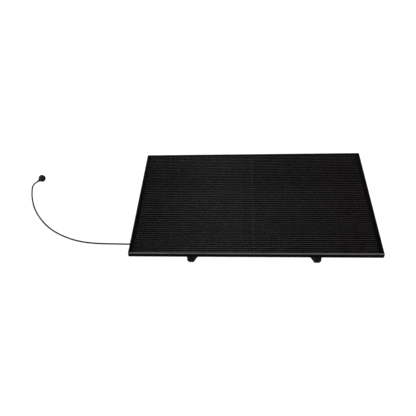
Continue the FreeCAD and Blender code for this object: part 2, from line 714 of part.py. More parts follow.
def base_rail(side):
    """A channel that opens upwards, with a long slot in both walls for the strut's clamp bolt."""
    body = new_body(f"base_rail_{side}")
    floor, top = "pad_height", "pad_height + base_height"
    half, hollow = "rail_width / 2", "(rail_width / 2 - rail_wall)"
    section = new_sketch(body, "XZ_Plane", "-base_start")
    outline(section, [
        (f"-{half}", floor), (half, floor), (half, top), (hollow, top), (hollow, f"{floor} + rail_wall"),
        (f"-{hollow}", f"{floor} + rail_wall"), (f"-{hollow}", top), (f"-{half}", top),
    ])
    pad(body, section, "base_end - base_start", "back")
    slot = new_sketch(body, "YZ_Plane")
    tall = "(pin_radius + slot_play)"
    rectangle(slot, SLOT_FRONT, f"hinge_height - {tall}", SLOT_REAR, f"hinge_height + {tall}")
    pocket(body, slot, "rail_width + 2", "both")
    centres = [(SLOT_FRONT, "hinge_height"), (SLOT_REAR, "hinge_height")]
    pocket(body, circles(new_sketch(body, "YZ_Plane"), tall, centres), "rail_width + 2", "both")
    hinge = circles(new_sketch(body, "YZ_Plane"), "pin_radius + pin_play", [("hinge_place", "hinge_height")])
    pocket(body, hinge, "rail_width + 2", "both")
    centres = [("ear_screw_place", "hinge_height")]
    screws = circles(new_sketch(body, "YZ_Plane"), "ear_screw_radius + pin_play", centres)
    pocket(body, screws, "rail_width + 2", "both")
    centres = [("0", "anchor_front"), ("0", "anchor_rear")]
    anchors = circles(new_sketch(body, "XY_Plane"), "anchor_radius", centres)
    pocket(body, anchors, "pad_height + rail_wall + 1", "back")
    keep(body, f"base_rail_{side}", beside(side, FLOOR))


def front_foot(side):
    """A cast foot: a tapered face with a raised rim and a bolt boss, and two ears along the base rail."""
    sign = SIDES[side]
    body = new_body(f"front_foot_{side}")

    def face(inset):
        """The foot's outline, moved inwards by inset; the inner edge slants more than the outer one."""
        return [
            (f"-{sign} * (foot_sole - {inset} / 2)", f"pad_height + {inset}"),
            (f"{sign} * (foot_sole - {inset} / 2)", f"pad_height + {inset}"),
            (f"{sign} * (foot_outer - {inset})", f"foot_shoulder + {inset} / 2"),
            (f"{sign} * (foot_outer - {inset})", f"foot_top - {inset}"),
            (f"-{sign} * (foot_inner - 1.9 * {inset})", f"foot_top - {inset}"),
        ]

    pad(body, outline(new_sketch(body, "XZ_Plane", "-foot_face"), face("0")), "foot_thickness", "back")
    recess = outline(new_sketch(body, "XZ_Plane", "-foot_face"), face("foot_rim"))
    circles(recess, "boss_radius", [("0", "boss_height")])
    pocket(body, recess, "foot_recess")
    ears = new_sketch(body, "XZ_Plane", "-foot_face - foot_thickness + 0.5")
    near = "(rail_width / 2 + pin_play)"
    for flip in ("1", "-1"):
        far = f"{flip} * ({near} + ear_thickness)"
        rectangle(ears, f"{flip} * {near}", "pad_height + 2", far, "ear_top")
    pad(body, ears, "ear_end - foot_face - foot_thickness + 0.5", "back")
    centres = [("0", "boss_height")]
    bolt = circles(new_sketch(body, "XZ_Plane", "-foot_face"), "foot_bolt_radius + pin_play", centres)
    pocket(body, bolt, "foot_thickness + 1")
    hinge = circles(new_sketch(body, "YZ_Plane"), "pin_radius + pin_play", [("hinge_place", "hinge_height")])
    pocket(body, hinge, "2 * rail_width", "both")
    centres = [("ear_screw_place", "hinge_height")]
    screws = circles(new_sketch(body, "YZ_Plane"), "ear_screw_radius + pin_play", centres)
    pocket(body, screws, "2 * rail_width", "both")
    keep(body, f"front_foot_{side}", beside(side, FLOOR))


def base_hardware():
    """Hinge bolts, foot bolts and their blocks, ear screws and rubber pads; returns the end caps."""
    hinges, hinge_nuts, foot_bolts, blocks, screws, pads, caps = [], [], [], [], [], [], []
    outside = "(rail_width / 2 + pin_play + ear_thickness)"
    for sign in SIDES.values():
        across = f"{sign} * support_place"
        head = ("head_radius", "head_height")
        hinge = ("hinge_place", "hinge_height")
        far_end = f"{outside} + nut_height + bolt_end"
        hinges.append(cross_bolt(sign, "pin_radius", head, *hinge, outside, far_end))
        hinge_nuts.append(cross_nut(sign, "pin_radius", *hinge, outside))
        seat = (across, "foot_face", "boss_height")
        head = rod("foot_bolt_head", "head_height", seat, "-y")
        crown = (across, "foot_face - head_height", "boss_height")
        recess = hexagon("foot_socket_radius", "foot_socket_depth", crown, "+y")
        shank = rod("foot_bolt_radius", "foot_thickness + block_depth", seat, "+y")
        foot_bolts.append(without(joined(head, shank), recess))
        thick = block(
            (f"{across} - lug_width / 2", "base_start", "pad_height + rail_wall"),
            ("lug_width", "block_depth", "block_top - pad_height - rail_wall"),
        )
        bore_start = (across, "base_start", "boss_height")
        blocks.append(without(thick, rod("foot_bolt_radius + pin_play", "block_depth", bore_start, "+y")))
        for way in (1, -1):
            start = (f"{across} + {way} * {outside}", "ear_screw_place", "hinge_height")
            inward = "-x" if way > 0 else "+x"
            outward = "+x" if way > 0 else "-x"
            shank = rod("ear_screw_radius", "ear_thickness + rail_wall", start, inward)
            screws.append(joined(shank, rod("ear_screw_head", "ear_head_height", start, outward)))
        middle = "(base_start + base_end - pad_length) / 2"
        for along in ("foot_face + pad_inset", middle, "base_end - pad_rear_inset"):
            corner = (f"{across} - foot_sole", along, "0")
            pads.append(block(corner, ("2 * foot_sole", "pad_length", "pad_height")))
        cap = block(
            (f"{across} - rail_width / 2", "base_end", "pad_height"),
            ("rail_width", "cap_thickness", "base_height"),
        )
        plug = block(
            (f"{across} - lug_width / 2", "base_end - cap_tongue", "pad_height + rail_wall + key_play"),
            ("lug_width", "cap_tongue", "base_height - rail_wall - key_play"),
        )
        caps.append(joined(cap, plug))
    keep(group(*hinges), "hinge_bolts", FLOOR)
    keep(group(*hinge_nuts), "hinge_nuts", FLOOR)
    keep(group(*foot_bolts), "foot_bolts", FLOOR)
    keep(group(*blocks), "foot_blocks", FLOOR)
    keep(group(*screws), "ear_screws", FLOOR)
    keep(group(*pads), "rubber_pads", FLOOR)
    return caps


# cross rail


def cross_rail():
    """A square tube on top of both base rails, which carries the microinverter; returns its end caps."""
    low = "pad_height + base_height"
    extent = ("cross_right - cross_left", "cross_depth", "cross_height")
    outer = block(("cross_left", "cross_place", low), extent)
    inner = block(
        ("cross_left", "cross_place + cross_wall", f"{low} + cross_wall"),
        ("cross_right - cross_left", "cross_depth - 2 * cross_wall", "cross_height - 2 * cross_wall"),
    )
    keep(without(outer, inner), "cross_rail", FLOOR)
    ends = [
        block((start, "cross_place", low), ("cap_thickness", "cross_depth", "cross_height"))
        for start in ("cross_left - cap_thickness", "cross_right")
    ]
    return ends


def cleats():
    """Angle cleats between the cross rail and the outer wall of each base rail; returns their bolts."""
    angles, bolts = [], []
    for sign in SIDES.values():
        wall = f"{sign} * (support_place + rail_width / 2)"
        behind = "cross_place + cross_depth"
        tall = "cleat_top - cleat_foot"
        extent = ("cleat_arm", "cleat_thickness", tall)
        start = wall if sign > 0 else f"{wall} - cleat_arm"
        back_leg = block((start, behind, "cleat_foot"), extent)
        start = wall if sign > 0 else f"{wall} - cleat_thickness"
        side_leg = block((start, behind, "cleat_foot"), ("cleat_thickness", "cleat_arm", tall))
        way = "+x" if sign > 0 else "-x"
        back = "-x" if sign > 0 else "+x"
        seat = (f"{wall} + {sign} * cleat_thickness", f"{behind} + cleat_screw_place", "cleat_screw_height")
        bolts.append(joined(
            rod("cleat_screw_radius", "cleat_thickness + rail_wall", seat, back),
            hexagon("cleat_head_radius", "screw_head_height", seat, way),
        ))
        top_seat = (
            f"{wall} + {sign} * cleat_screw_place",
            f"{behind} + cleat_thickness",
            "cleat_top - cleat_screw_drop",
        )
        bolts.append(joined(
            rod("cleat_screw_radius", "cleat_thickness + cross_wall", top_seat, "-y"),
            hexagon("cleat_head_radius", "screw_head_height", top_seat, "+y"),
        ))
        holes = [
            rod("cleat_screw_radius", "cleat_thickness", seat, back),
            rod("cleat_screw_radius", "cleat_thickness", top_seat, "-y"),
        ]
        angles.append(without(joined(back_leg, side_leg), *holes))
    keep(group(*angles), "rail_cleats", FLOOR)
    drill("cross_rail", bolts[1::2])
    drill("base_rail_left", bolts[:1])
    drill("base_rail_right", bolts[2:3])
    return bolts


def drill(name, bolts):
    """Opens a sub-part where the given bolts pass through it."""
    shanks = group(*bolts)
    shanks.Placement = FLOOR
    keep(without(parts.pop(name), shanks), name)


# microinverter


def inverter_case():
    """A cast case that is open at the bottom, with cooling fins and a mounting ear on the cross rail."""
    body = new_body("inverter_case")
    left, right = "case_left", "case_left + case_width"
    front, rear = "case_front", "case_front + case_depth"
    corners = [
        (f"{left} + case_corner", front), (f"{right} - case_corner", front),
        (right, f"{front} + case_corner"), (right, rear), (left, rear), (left, f"{front} + case_corner"),
    ]
    pad(body, outline(new_sketch(body, "XY_Plane", "case_floor"), corners), "case_top - case_floor")
    ear = new_sketch(body, "XY_Plane", "case_top")
    rectangle(
        ear, f"{left} + ear_plate_inset", "cross_place + cross_depth + ear_plate_edge - ear_plate_depth",
        f"{right} - ear_plate_inset", "cross_place + cross_depth + ear_plate_edge",
    )
    pad(body, ear, "ear_plate")
    hollow = new_sketch(body, "XY_Plane", "case_floor")
    rectangle(
        hollow, f"{left} + case_side", f"{front} + case_side", f"{right} - case_side", f"{rear} - case_wall",
    )
    pocket(body, hollow, "case_top - case_floor - case_wall", "back")
    holes = circles(new_sketch(body, "XY_Plane", "case_top"), "cleat_screw_radius", [
        (f"{left} + ear_hole_inset", "cross_place + cross_depth / 2"),
        (f"{right} - ear_hole_inset", "cross_place + cross_depth / 2"),
    ])
    pocket(body, holes, "ear_plate + 1", "back")
    fin = new_sketch(body, "XY_Plane", "case_top - 0.5")
    rectangle(
        fin, f"{left} + fin_margin", f"{front} + fin_front",
        f"{left} + fin_margin + fin_width", f"{rear} - fin_rear",
    )
    fin_pad = pad(body, fin, "fin_height + 0.5")
    repeat(body, fin_pad, [("X_Axis", "fin_pitch", "fin_count")])
    keep(body, "inverter_case", FLOOR)


def inverter_parts():
    """Lid, board with its large components, sockets, lens, screws and gland; returns the ear's bolts."""
    left, right = "case_left", "case_left + case_width"
    front = "case_front"
    lid = block((left, front, "case_floor - lid_thickness"), ("case_width", "case_depth", "lid_thickness"))
    keep(group(lid), "inverter_lid", FLOOR)
    board = block(
        (f"{left} + case_wall + board_play", f"{front} + case_wall + board_play", "board_height"),
        ("case_width - 2 * (case_wall + board_play)", "case_depth - 2 * (case_wall + board_play)",
         "board_thickness"),
    )
    keep(group(board), "inverter_board", FLOOR)
    deck = "board_height + board_thickness"
    coils = [
        rod("coil_radius", "coil_height", (f"{left} + {across}", f"{front} + coil_place", deck), "+z")
        for across in (60, 100)
    ]
    cans = [
        rod("can_radius", "can_height", (f"{left} + {across}", f"{front} + can_place", deck), "+z")
        for across in (60, 85, 110, 135)
    ]
    keep(group(*coils, *cans), "inverter_components", FLOOR)
    sockets = []
    for index in range(4):
        seat = (f"{left} + inlet_start + {index} * inlet_pitch", front, "gland_height")
        barrel = rod("inlet_radius", "inlet_length", seat, "-y")
        mouth = (seat[0], f"{front} - inlet_floor", "gland_height")
        sockets.append(without(barrel, rod("inlet_bore", "inlet_length", mouth, "-y")))
    keep(group(*sockets), "inverter_inlets", FLOOR)
    lens = rod("lens_radius", "lens_height", (f"{left} + lens_place", front, "gland_height"), "-y")
    keep(group(lens), "status_lens", FLOOR)
    screws = []
    rows = (f"{front} + lid_screw_end", f"{front} + case_depth / 2", f"{front} + case_depth - lid_screw_end")
    for across in (f"{left} + lid_screw_side", f"{right} - lid_screw_side"):
        for along in rows:
            seat = (across, along, "case_floor - lid_thickness")
            screws.append(rod("lid_screw_radius", "lid_screw_height", seat, "-z"))
    keep(group(*screws), "lid_screws", FLOOR)
    ear_bolts = []
    for across in (f"{left} + ear_hole_inset", f"{right} - ear_hole_inset"):
        seat = (across, "cross_place + cross_depth / 2", "case_top + ear_plate")
        ear_bolts.append(joined(
            hexagon("cleat_head_radius", "screw_head_height", seat, "+z"),
            rod("cleat_screw_radius - pin_play", "ear_plate", seat, "-z"),
        ))
    seat = (left, "gland_place", "gland_height")
    keep(group(rod("gland_radius", "gland_length", seat, "-x")), "cord_gland", FLOOR)
    nut_seat = (f"{left} - gland_length", "gland_place", "gland_height")
    keep(group(hexagon("gland_nut_radius", "gland_nut_length", nut_seat, "-x")), "gland_nut", FLOOR)
    relief_seat = (f"{left} - gland_length - gland_nut_length", "gland_place", "gland_height")
    relief = taper("relief_radius", "cord_radius + relief_lip", "relief_length", relief_seat, "-x")
    keep(group(relief), "cord_relief", FLOOR)
    return ear_bolts


# mains lead and plug

PLUG = Placement(
    Vector(size("plug_across"), size("plug_along"), size("plug_radius")),
    Rotation(Vector(0, 0, 1), size("plug_turn")).multiply(Rotation(Vector(1, 0, 0), 90)),
)
CORD_START = Vector(
    size("case_left - gland_length - gland_nut_length - relief_length"),
    FRONT + size("gland_place"),
    size("gland_height"),
)
CORD_END = PLUG.multVec(Vector(size("neck_end + plug_relief"), 0, 0))
LIE = size("cord_radius") + 0.1
CORD_ROUTE = [
    CORD_START,
    Vector(-803, -304, 44),
    Vector(-842, -303.7, 30),
    Vector(-882, -303, 11.5),
    Vector(-926, -302, LIE),
    Vector(-986, -300, LIE),
    Vector(-1064, -298.8, LIE),
    Vector(-1150, -296.5, LIE),
    Vector(-1237, -288, LIE),
    Vector(-1326, -269, LIE),
    Vector(-1416, -234, LIE),
    Vector(-1510, -184, LIE),
    Vector(-1600, -119, LIE),
    Vector(-1684, -36, LIE),
    Vector(-1762, 58, LIE),
    Vector(-1829, 160, LIE),
    Vector(-1883, 268, LIE),
    Vector(-1914, 344, 6.4),
    Vector(-1930, 394, 9),
    Vector(-1938, 430, 20),
    PLUG.multVec(Vector(size("neck_end + plug_relief + plug_exit_run"), 0, 0)),
    CORD_END,
]


def rounded_path(route):
    """Straight runs joined by tangent arcs, each arc as large as its two runs allow."""
    edges, radii, start = [], [], route[0]
    for before, corner, after in zip(route, route[1:], route[2:]):
        first, second = (corner - before), (after - corner)
        half_turn = first.getAngle(second) / 2
        shorter = min(first.Length, second.Length)
        setback = 0.45 * shorter
        radii.append(setback / math.tan(half_turn))
        arc_start = corner - first.normalize() * setback
        arc_end = corner + second.normalize() * setback
        inward = (second - first).normalize()
        radius = radii[-1]
        middle = corner + inward * (radius / math.cos(half_turn) - radius)
        edges.append(Part.LineSegment(start, arc_start).toShape())
        edges.append(Part.Arc(arc_start, middle, arc_end).toShape())
        start = arc_end
    edges.append(Part.LineSegment(start, route[-1]).toShape())
    return Part.Wire(edges), radii


def mains_cord():
    path, radii = rounded_path(CORD_ROUTE)
    radius = size("cord_radius")
    ring = Part.Wire(Part.makeCircle(radius, CORD_ROUTE[0], CORD_ROUTE[1] - CORD_ROUTE[0]))
    tube = path.makePipeShell([ring], True, False)
    if tube.ShapeType != "Solid":
        tube = Part.Solid(Part.Shell(tube.Faces))
    expected = math.pi * radius**2 * path.Length
    if abs(tube.Volume - expected) > 0.01 * expected:
        raise RuntimeError(f"cord volume {tube.Volume:.0f} differs from {expected:.0f}")
    print(f"cord length {path.Length:.0f} mm, radii", [round(value) for value in radii])
    item = doc.addObject("Part::Feature", "mains_cord")
    item.Shape = tube
    keep(item, "mains_cord")


def plug():
    """An angled plug that stands on its rim: a round body, a neck to one side and a front face with pins."""
    half = "plug_thickness / 2"
    body = new_body("plug_body")
    outer = circles(new_sketch(body, "XY_Plane", f"-{half}"), "plug_radius", [("0", "0")])
    disc = pad(body, outer, "plug_thickness")
    doc.recompute()
    edges = [
        f"Edge{index}"
        for index, edge in enumerate(disc.Shape.Edges, start=1)
        if abs(edge.CenterOfMass.z + size(half)) < 0.01
    ]
    rounding = body.newObject("PartDesign::Fillet", "plug_rounding")
    rounding.Base = (disc, edges)
    rounding.Radius = size("plug_round")
    rounding.setExpression("Radius", bound("plug_round"))
    neck = circles(new_sketch(body, "YZ_Plane", "0"), "neck_radius", [("0", "0")])
    pad(body, neck, "neck_end")
    keep(body, "plug_body", PLUG)
    relief = taper("relief_radius", "cord_radius + relief_lip", "plug_relief", ("neck_end", "0", "0"), "+x")
    keep(group(relief), "plug_relief", PLUG)
    face = rod("face_radius", "face_height", ("0", "0", half), "+z")
    keep(group(face), "plug_face", PLUG)
    pins = [
        rod("prong_radius", "prong_length", ("0", f"{sign} * prong_place", f"{half} + face_height"), "+z")
        for sign in ("-1", "1")
    ]
    strips = [
        block((start, "-earth_strip / 2", half), ("earth_thickness", "earth_strip", "earth_height"))
        for start in ("-face_radius - earth_thickness", "face_radius")
    ]
    keep(group(*pins, *strips), "plug_contacts", PLUG)


def build():
    laminate()
    solar_cells()
    cell_ribbons()
    edge_seal()
    frame()
    corner_keys()
    junction_boxes()
    junction_parts()
    for side in SIDES:
        carrier_rail(side)
        strut(side)
        clamp_hardware(side)
        star_knob(side)
        base_rail(side)
        front_foot(side)
    keep(group(*[hinge_lug(side) for side in SIDES]), "hinge_lugs", MODULE)
    carrier_hardware()
    keep(group(*base_hardware(), *cross_rail()), "rail_end_caps", FLOOR)
    inverter_case()
    keep(group(*cleats(), *inverter_parts()), "cross_rail_bolts", FLOOR)
    mains_cord()
    plug()


def check_and_export():
    """Every object has to be sound before any file is written."""
    doc.recompute()
    for item in doc.Objects:
        if {"Invalid", "Error"} & set(item.State):
            raise RuntimeError(f"{item.Label} failed: {item.State}")
    for name, item in parts.items():
        shape = item.Shape
        if shape.isNull() or not shape.isValid() or not shape.Solids:
            raise RuntimeError(f"{name} is not a sound solid")
    os.makedirs("parts", exist_ok=True)
    for name, item in parts.items():
        item.Shape.exportStep(f"parts/{name}.step")
    print(f"{len(parts)} sub-parts")
    print(f"hinge y {HINGE.y:.3f} z {HINGE.z:.3f}")
    print(f"strut pivot y {PIVOT.y:.3f} z {PIVOT.z:.3f}, angle {STRUT_ANGLE:.3f}")
    print(f"clamp y {CLAMP.y:.3f} z {CLAMP.z:.3f}, front {FRONT:.3f}")


build()
check_and_export()
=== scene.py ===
"""Finishes, mains lead, plug and moulded parts of a free-standing solar module.

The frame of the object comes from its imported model. Lengths are in metres, +X runs along the
module's long side, +Y from its low front edge to its high rear edge and +Z up.
"""

import math

import bpy
import numpy as np
from mathutils import Matrix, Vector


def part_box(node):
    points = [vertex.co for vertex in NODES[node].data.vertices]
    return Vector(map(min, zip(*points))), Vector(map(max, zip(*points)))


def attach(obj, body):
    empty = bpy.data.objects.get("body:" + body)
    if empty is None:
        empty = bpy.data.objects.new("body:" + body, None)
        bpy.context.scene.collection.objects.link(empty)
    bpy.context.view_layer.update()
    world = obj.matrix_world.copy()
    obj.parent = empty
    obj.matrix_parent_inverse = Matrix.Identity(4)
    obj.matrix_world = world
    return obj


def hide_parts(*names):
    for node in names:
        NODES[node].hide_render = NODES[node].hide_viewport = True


bl_info = {
    "name": "Solar Module",
    "version": (1, 0, 0),
    "blender": (4, 5, 0),
    "location": "View3D > Sidebar > Solar Module",
    "description": "Builds the finishes and the moulded parts of a free-standing solar module",
    "category": "Object",
}

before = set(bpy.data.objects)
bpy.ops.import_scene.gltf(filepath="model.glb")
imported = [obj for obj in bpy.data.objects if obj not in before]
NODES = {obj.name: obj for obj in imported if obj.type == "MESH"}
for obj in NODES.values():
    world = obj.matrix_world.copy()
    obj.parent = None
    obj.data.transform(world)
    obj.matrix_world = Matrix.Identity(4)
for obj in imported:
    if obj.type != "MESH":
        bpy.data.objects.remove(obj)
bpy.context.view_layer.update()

TILT = math.radians(10)
FRONT_EDGE = -0.514154  # where the front edge's upper corner lies
FRONT_HEIGHT = 0.110
DEPTH = 1.038  # length of the module up the slope
STRING_END = 0.8442  # the string connectors lie beyond it
CELL = (0.083, 0.166)
CELL_PITCH = (0.0839, 0.168)
CELL_TOP = -0.0062
CELL_BACK = -0.0064
CENTRE_GAP = 0.012
RIBBONS = 9  # on each cell
SUPPORT_PLACE = 0.44  # of each floor support, to either side of the middle
CLAMP_PLACE = 0.453707  # of the clamp bolts, towards the rear
KEY_RISE = math.radians(42)
KEY_HEADING = math.radians(-6)
KEY_SOFTNESS = math.radians(28)


# sizes and colours that a user would change


class StageSettings(bpy.types.PropertyGroup):
    """The floor, the light and the camera."""

    floor_glow: bpy.props.FloatProperty(
        name="Floor glow", description="Light that the floor gives off by itself", default=0.93, min=0.0
    )
    floor_colour: bpy.props.FloatVectorProperty(
        name="Floor colour", description="Colour of the floor", subtype="COLOR", size=3,
        default=(0.2, 0.2, 0.2), min=0.0, max=1.0,
    )
    key_strength: bpy.props.FloatProperty(
        name="Key strength", description="Strength of the soft key light", default=1.7, min=0.0
    )
    lens: bpy.props.FloatProperty(
        name="Lens", description="Focal length of the camera in millimetres", default=40.374, min=1.0
    )
    camera_place: bpy.props.FloatVectorProperty(
        name="Camera place", description="Where the camera stands", subtype="TRANSLATION", unit="LENGTH",
        size=3, default=(-0.07314, -2.86665, 2.32053),
    )
    camera_turn: bpy.props.FloatVectorProperty(
        name="Camera turn", description="Heading, fall and roll of the camera", subtype="EULER", size=3,
        default=(math.radians(-5.3976), math.radians(37.458), math.radians(-3.4212)),
    )


class CordSettings(bpy.types.PropertyGroup):
    """The mains lead and its plug."""

    diameter: bpy.props.FloatProperty(
        name="Diameter", description="Outer diameter of the mains lead", default=0.012, unit="LENGTH"
    )
    length: bpy.props.FloatProperty(
        name="Length", description="Length of the mains lead", default=1.62, unit="LENGTH"
    )


class EdgeSettings(bpy.types.PropertyGroup):
    """Soft edges of the metal and moulded parts."""

    metal: bpy.props.FloatProperty(
        name="Metal edges", description="Width of the soft edge on extrusions and castings",
        default=0.0006, unit="LENGTH",
    )
    moulded: bpy.props.FloatProperty(
        name="Moulded edges", description="Width of the soft edge on moulded parts",
        default=0.0012, unit="LENGTH",
    )


class ModuleSettings(bpy.types.PropertyGroup):
    """Cells, junction lids, knobs and pads."""

    cell_chamfer: bpy.props.FloatProperty(
        name="Cell chamfer", description="Cut corner of a half cell", default=0.006, unit="LENGTH"
    )
    knob_lobe: bpy.props.FloatProperty(
        name="Knob lobe", description="How far a knob's lobes stand out and in",
        default=0.0025, unit="LENGTH",
    )
    pad_rib: bpy.props.FloatProperty(
        name="Pad rib", description="Depth of the ribs round a rubber pad", default=0.0007, unit="LENGTH"
    )


SETTINGS = {
    "solar_stage": StageSettings, "solar_cord": CordSettings, "solar_edges": EdgeSettings,
    "solar_module": ModuleSettings,
}


# material helpers


def new_material(name, colour, roughness, metallic=0.0, specular=0.5):
    """A material with a Principled shader whose even values are set on its own sockets."""
    material = bpy.data.materials.new(name)
    material.use_nodes = True
    tree = material.node_tree
    shader = tree.nodes["Principled BSDF"]
    shader.inputs["Base Color"].default_value = (*colour, 1.0)
    shader.inputs["Roughness"].default_value = roughness
    shader.inputs["Metallic"].default_value = metallic
    shader.inputs["Specular IOR Level"].default_value = specular
    return material, tree, shader


def add(tree, kind, inputs=(), **settings):
    """A node with its settings and its inputs: a value, or the socket that feeds it."""
    made = tree.nodes.new(kind)
    for name, value in settings.items():
        setattr(made, name, value)
    for name, value in dict(inputs).items():
        socket = made.inputs[name]
        if isinstance(value, bpy.types.NodeSocket):
            tree.links.new(value, socket)
        else:
            socket.default_value = value
    return made


def object_place(tree, scale=(1, 1, 1)):
    """Object coordinates, stretched by scale."""
    source = add(tree, "ShaderNodeTexCoord").outputs["Object"]
    return add(tree, "ShaderNodeMapping", {"Vector": source, "Scale": scale}).outputs["Vector"]


def module_place(tree):
    """The module's own coordinates: X across, Y up the slope from the front edge, Z out of the face."""
    source = add(tree, "ShaderNodeTexCoord").outputs["Object"]
    inputs = {"Vector": source, "Location": (0, FRONT_EDGE, FRONT_HEIGHT), "Rotation": (TILT, 0, 0)}
    return add(tree, "ShaderNodeMapping", inputs, vector_type="TEXTURE").outputs["Vector"]


def axes(tree, place):
    """The X, Y and Z of a place, as sockets."""
    return add(tree, "ShaderNodeSeparateXYZ", {"Vector": place}).outputs


def noise(tree, place, scale, detail=3.0, roughness=0.5):
    """A smooth noise around one half."""
    inputs = {"Vector": place, "Scale": scale, "Detail": detail, "Roughness": roughness}
    return add(tree, "ShaderNodeTexNoise", inputs).outputs["Fac"]


def spread(tree, value, low, high, from_low=0.0, from_high=1.0):
    """Maps a value from one range onto another."""
    inputs = {"Value": value, "From Min": from_low, "From Max": from_high, "To Min": low, "To Max": high}
    return add(tree, "ShaderNodeMapRange", inputs).outputs["Result"]


def maths(tree, operation, first, second=0.0, third=0.0):
    """The result of one sum on values or sockets."""
    made = add(tree, "ShaderNodeMath", operation=operation)
    for socket, value in zip(made.inputs, (first, second, third)):
        if isinstance(value, bpy.types.NodeSocket):
            tree.links.new(value, socket)
        else:
            socket.default_value = value
    return made.outputs[0]


def tones(tree, factor, *stops):
    """Colours along a ramp; a stop is its place and its colour."""
    ramp = add(tree, "ShaderNodeValToRGB", {"Fac": factor})
    elements = ramp.color_ramp.elements
    while len(elements) < len(stops):
        elements.new(0.5)
    for element, (place, colour) in zip(elements, stops):
        element.position = place
        element.color = (*colour, 1.0)
    return ramp.outputs["Color"]


def blend(tree, factor, first, second, **settings):
    """Two colours mixed by a factor."""
    inputs = {"Factor": factor, "A": first, "B": second}
    return add(tree, "ShaderNodeMix", inputs, data_type="RGBA", **settings).outputs["Result"]


def mix_shaders(tree, factor, first, second):
    """Makes the surface a mix of two shaders."""
    both = add(tree, "ShaderNodeMixShader", {"Fac": factor, 1: first.outputs[0], 2: second.outputs[0]})
    tree.links.new(both.outputs[0], tree.nodes["Material Output"].inputs["Surface"])


def relief(tree, shader, height, distance, under=None):
    """Raises the surface by height times distance, on top of another relief if there is one."""
    inputs = {"Height": height, "Distance": distance}
    if under is not None:
        inputs["Normal"] = under
    made = add(tree, "ShaderNodeBump", inputs)
    tree.links.new(made.outputs["Normal"], shader.inputs["Normal"])
    return made.outputs["Normal"]


def feed(tree, value, shader, name):
    """Feeds one input of a shader."""
    tree.links.new(value, shader.inputs[name])


# finishes


def anodised(name, colour, roughness, along):
    """Anodised aluminium: fine die lines along the extrusion, a soft change of tone and small scuffs."""
    material, tree, shader = new_material(name, colour, roughness, metallic=0.75)
    stretch = {"x": (0.02, 1, 1), "y": (1, 0.02, 1)}[along]
    lines = noise(tree, object_place(tree, stretch), 900, 2)
    cloud = noise(tree, object_place(tree), 7, 4)
    scuffs = noise(tree, object_place(tree), 160, 6, 0.7)
    tone = maths(tree, "MULTIPLY_ADD", lines, 0.35, cloud)
    bright = tuple(value * 1.45 for value in colour)
    deep = tuple(value * 0.7 for value in colour)
    feed(tree, tones(tree, tone, (0.45, deep), (0.85, bright)), shader, "Base Color")
    worn = maths(tree, "MULTIPLY_ADD", scuffs, 0.16, roughness - 0.08)
    feed(tree, maths(tree, "MULTIPLY_ADD", lines, 0.08, worn), shader, "Roughness")
    relief(tree, shader, lines, 0.00004)
    return material


def coated(name, colour, roughness, grain, depth):
    """Powder coat or moulded plastic: a fine grain, an uneven gloss and a soft change of tone."""
    material, tree, shader = new_material(name, colour, roughness, specular=0.35)
    fine = noise(tree, object_place(tree), grain, 3, 0.6)
    broad = noise(tree, object_place(tree), 30, 4)
    bright = tuple(value * 1.5 for value in colour)
    deep = tuple(value * 0.75 for value in colour)
    feed(tree, tones(tree, broad, (0.3, deep), (0.7, bright)), shader, "Base Color")
    feed(tree, spread(tree, fine, roughness - 0.07, roughness + 0.1, 0.3, 0.7), shader, "Roughness")
    relief(tree, shader, fine, depth)
    return material


def turned_steel(name, colour, roughness):
    """Bare or blackened metal: short brushed lines, faint stains and a change of gloss."""
    material, tree, shader = new_material(name, colour, roughness, metallic=1.0)
    lines = noise(tree, object_place(tree, (1, 1, 14)), 700, 2)
    stain = noise(tree, object_place(tree), 55, 5, 0.65)
    bright = tuple(min(value * 1.15, 1) for value in colour)
    deep = tuple(value * 0.72 for value in colour)
    feed(tree, tones(tree, stain, (0.35, deep), (0.6, bright)), shader, "Base Color")
    feed(tree, maths(tree, "MULTIPLY_ADD", lines, 0.2, roughness - 0.1), shader, "Roughness")
    relief(tree, shader, lines, 0.00003)
    return material


def rubber(name, colour, roughness):
    """Soft black rubber: a fine grain with faint rubbed marks."""
    material, tree, shader = new_material(name, colour, roughness, specular=0.3)
    fine = noise(tree, object_place(tree), 1500, 3, 0.6)
    rubbed = noise(tree, object_place(tree), 40, 5, 0.65)
    bright = tuple(value * 1.7 for value in colour)
    feed(tree, tones(tree, rubbed, (0.4, colour), (0.75, bright)), shader, "Base Color")
    feed(tree, spread(tree, fine, roughness - 0.08, roughness + 0.12, 0.3, 0.7), shader, "Roughness")
    relief(tree, shader, fine, 0.00004)
    return material


def rail_with_painted_sheen():
    """Black anodising with a painted highlight on the lip of the low rail: its upper face is given a lighter,
    patchy colour that stands in for a sheen of light.
    """
    material, tree, shader = new_material("frame_low", (0.006, 0.006, 0.0065), 0.45, metallic=0.75)
    lines = noise(tree, object_place(tree, (0.02, 1, 1)), 900, 2)
    patches = noise(tree, object_place(tree, (0.35, 1, 1)), 28, 5, 0.65)
    # painted highlight: the lip's upper face is made lighter in patches, in place of a sheen from the light
    on_top = spread(tree, axes(tree, module_place(tree))["Z"], 0, 1, -0.0016, -0.0004)
    sheen_mask = maths(tree, "MULTIPLY", on_top, spread(tree, patches, 0.72, 1.0, 0.35, 0.65))
    base = tones(tree, lines, (0.3, (0.004, 0.004, 0.0045)), (0.75, (0.009, 0.009, 0.0095)))
    feed(tree, blend(tree, sheen_mask, base, (0.2, 0.195, 0.19, 1)), shader, "Base Color")
    feed(tree, spread(tree, sheen_mask, 0.42, 0.7), shader, "Roughness")
    relief(tree, shader, lines, 0.00004)
    return material


